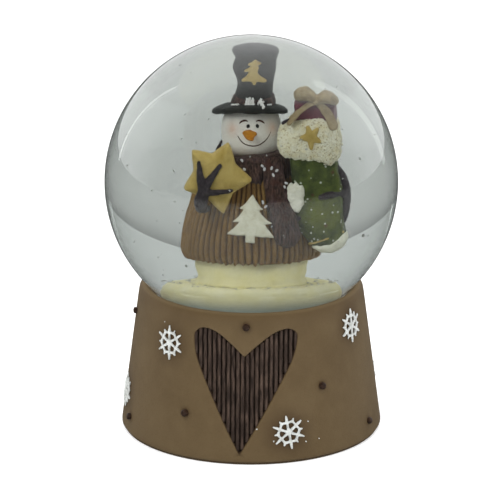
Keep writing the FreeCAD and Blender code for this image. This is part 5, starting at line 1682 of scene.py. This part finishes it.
class SNOWGLOBE_OT_movement(bpy.types.Operator):
    """Paint the musical movement, its cover, key, seals and felt ring"""
    bl_idname = "snowglobe.movement"
    bl_label = "Movement Finishes"

    def execute(self, context):
        brass = metal_paint("gear_brass_finish", (214, 176, 96), (180, 140, 70), 0.28)
        steel = metal_paint("screw_steel_finish", (196, 196, 196), (150, 150, 152), 0.26)
        sheet = metal_paint("sheet_steel_finish", (176, 178, 180), (140, 142, 146), 0.34)
        spring = metal_paint("spring_steel_finish", (122, 126, 138), (92, 96, 108), 0.3)
        zinc = metal_paint("zinc_casting_finish", (158, 158, 156), (126, 126, 124), 0.48, 0.5)
        nickel = metal_paint("key_steel_finish", (206, 202, 194), (170, 166, 158), 0.22)
        repaint(brass, "great_wheel", "cylinder_pinion", "pinned_cylinder", "cylinder_gear",
                "governor_wheel", "governor_fan")
        repaint(steel, "cover_screws", "movement_screws", "winding_shaft", "cylinder_arbor",
                "comb_screws", "governor_stud")
        repaint(sheet, "spring_housing", "inner_bearing_plate", "outer_bearing_plate")
        repaint(spring, "mainspring", "tone_comb")
        repaint(zinc, "movement_bedplate", "comb_rest")
        repaint(nickel, "winding_key")
        repaint(plain_paint("black_board", (44, 42, 40), (30, 28, 27), 0.78, 0.8),
                "bottom_cover")
        repaint(plain_paint("brown_felt", (84, 70, 50), (58, 48, 34), 0.95, 0.35, 0.3),
                "base_felt_ring")
        repaint(plain_paint("black_rubber_finish", (40, 40, 40), (28, 28, 28), 0.6, 2.0),
                "rubber_stopper")
        repaint(plain_paint("grey_sealant_finish", (176, 178, 172), (150, 152, 148), 0.4, 1.6),
                "neck_sealant")
        return {"FINISHED"}


# ---------------------------------------------------------------- stage

def floor_paint():
    """Pale floor that glows a little; it shows only weakly in polished surfaces and somewhat
    darker through the ball.
    """
    paint = Paint("pale_floor_paint")
    pale = paint.node("ShaderNodeBsdfPrincipled", None, {
        "Base Color": (0.8, 0.8, 0.8, 1.0), "Roughness": 0.9, "Specular IOR Level": 0.0,
        "Emission Color": (1.0, 1.0, 1.0, 1.0), "Emission Strength": 0.35})
    dim = paint.node("ShaderNodeBsdfPrincipled", None, {
        "Base Color": (0.04, 0.04, 0.04, 1.0), "Roughness": 0.9, "Specular IOR Level": 0.0})
    gloss = paint.node("ShaderNodeLightPath", out="Is Glossy Ray")
    mirrored = paint.node("ShaderNodeLightPath", out="Is Reflection Ray")
    through_ball = paint.node("ShaderNodeLightPath", out="Is Transmission Ray")
    both = paint.node("ShaderNodeMixShader", None, {
        0: gloss * mirrored + through_ball * 0.3, 1: pale, 2: dim})
    paint.node("ShaderNodeOutputMaterial", None, {"Surface": both})
    return paint.material


class SNOWGLOBE_OT_stage(bpy.types.Operator):
    """Make the pale floor, the soft lights and the camera"""
    bl_idname = "snowglobe.stage"
    bl_label = "Stage"

    def execute(self, context):
        scene = context.scene
        scene.view_settings.view_transform = "Standard"
        scene.view_settings.look = "None"
        scene.view_settings.exposure = 0.0
        half = 3000
        floor = as_object("pale_floor", [(-half, -half, 0), (half, -half, 0), (half, half, 0),
                                         (-half, half, 0)], [(0, 1, 2, 3)])
        floor.data.materials.append(floor_paint())
        world = bpy.data.worlds.new("soft_room")
        scene.world = world
        world.use_nodes = True
        nodes = Nodes(world.node_tree)
        way = nodes.node("ShaderNodeLightPath", out="Is Camera Ray")
        toward = nodes.node("ShaderNodeSeparateXYZ", None, {0: nodes.node(
            "ShaderNodeTexCoord", out="Generated")}, out=1)
        behind = nodes.node("ShaderNodeMapRange", {"interpolation_type": "SMOOTHSTEP"}, {
            "Value": toward, "From Min": -0.35, "From Max": 0.45})
        seen = nodes.node("ShaderNodeBackground", None, {"Color": (1, 1, 1, 1), "Strength": 1.0})
        room = nodes.node("ShaderNodeBackground", None, {
            "Color": (0.98, 0.99, 1.0, 1), "Strength": behind * 1.15 + 0.08})
        both = nodes.node("ShaderNodeMixShader", None, {0: way, 1: room, 2: seen})
        nodes.node("ShaderNodeOutputWorld", None, {"Surface": both})
        for name, place, size, power, aim in (
                ("key_panel", (-0.62, -0.72, 0.78), (0.5, 0.6), 6.6, (0, 0, 0.07)),
                ("fill_panel", (0.75, -0.5, 0.55), (0.35, 0.9), 3.9, (0, 0, 0.08)),
                ("top_panel", (0.0, 0.1, 1.1), (1.2, 1.2), 9.8, (0, 0, 0.05)),
                ("front_panel", (0.1, -1.3, 0.35), (0.6, 0.4), 3.2, (0, 0, 0.06)),
                ("right_strip", (0.95, 0.75, 0.55), (0.16, 1.3), 0.5, (0, 0, 0.09)),
                ("left_strip", (-0.95, 0.75, 0.5), (0.05, 1.0), 0.3, (0, 0, 0.09))):
            light = bpy.data.lights.new(name, "AREA")
            light.shape = "RECTANGLE"
            light.size, light.size_y = size
            light.energy = power
            lamp = bpy.data.objects.new(name, light)
            scene.collection.objects.link(lamp)
            lamp.location = place
            lamp.visible_glossy = lamp.visible_transmission = name.endswith("strip")
            lamp.rotation_euler = (Vector(aim) - Vector(place)).to_track_quat(
                "-Z", "Y").to_euler()
        lens = bpy.data.cameras.new("camera")
        lens.sensor_width = 36
        lens.lens = 219.6
        lens.clip_end = 20
        camera = bpy.data.objects.new("camera", lens)
        scene.collection.objects.link(camera)
        camera.location = (-0.00044, -1.0, 0.3666)
        camera.rotation_euler = (math.pi / 2 - 0.296, 0, 0)
        scene.camera = camera
        return {"FINISHED"}


class SNOWGLOBE_PT_panel(bpy.types.Panel):
    """Lists the steps that make the snow globe"""
    bl_idname = "SNOWGLOBE_PT_panel"
    bl_label = "Snow Globe"
    bl_space_type = "VIEW_3D"
    bl_region_type = "UI"
    bl_category = "Snow Globe"

    def draw(self, context):
        for step in STEPS:
            self.layout.operator(step.bl_idname)
        for group in (context.scene.snowglobe_base, context.scene.snowglobe_globe):
            for name in group.__annotations__:
                self.layout.prop(group, name)


STEPS = [SNOWGLOBE_OT_base, SNOWGLOBE_OT_heart, SNOWGLOBE_OT_trim, SNOWGLOBE_OT_globe,
         SNOWGLOBE_OT_snow_ground, SNOWGLOBE_OT_jumper, SNOWGLOBE_OT_head, SNOWGLOBE_OT_hat,
         SNOWGLOBE_OT_scarf, SNOWGLOBE_OT_star, SNOWGLOBE_OT_stocking, SNOWGLOBE_OT_gift,
         SNOWGLOBE_OT_flakes, SNOWGLOBE_OT_movement, SNOWGLOBE_OT_stage]
CLASSES = [SNOWGLOBE_PG_base, SNOWGLOBE_PG_globe, *STEPS, SNOWGLOBE_PT_panel]


def register():
    for item in CLASSES:
        bpy.utils.register_class(item)
    bpy.types.Scene.snowglobe_base = PointerProperty(type=SNOWGLOBE_PG_base)
    bpy.types.Scene.snowglobe_globe = PointerProperty(type=SNOWGLOBE_PG_globe)


def unregister():
    del bpy.types.Scene.snowglobe_globe
    del bpy.types.Scene.snowglobe_base
    for item in reversed(CLASSES):
        bpy.utils.unregister_class(item)


def main():
    register()
    for step in STEPS:
        group, name = step.bl_idname.split(".")
        getattr(getattr(bpy.ops, group), name)()


if __name__ == "__main__":
    main()
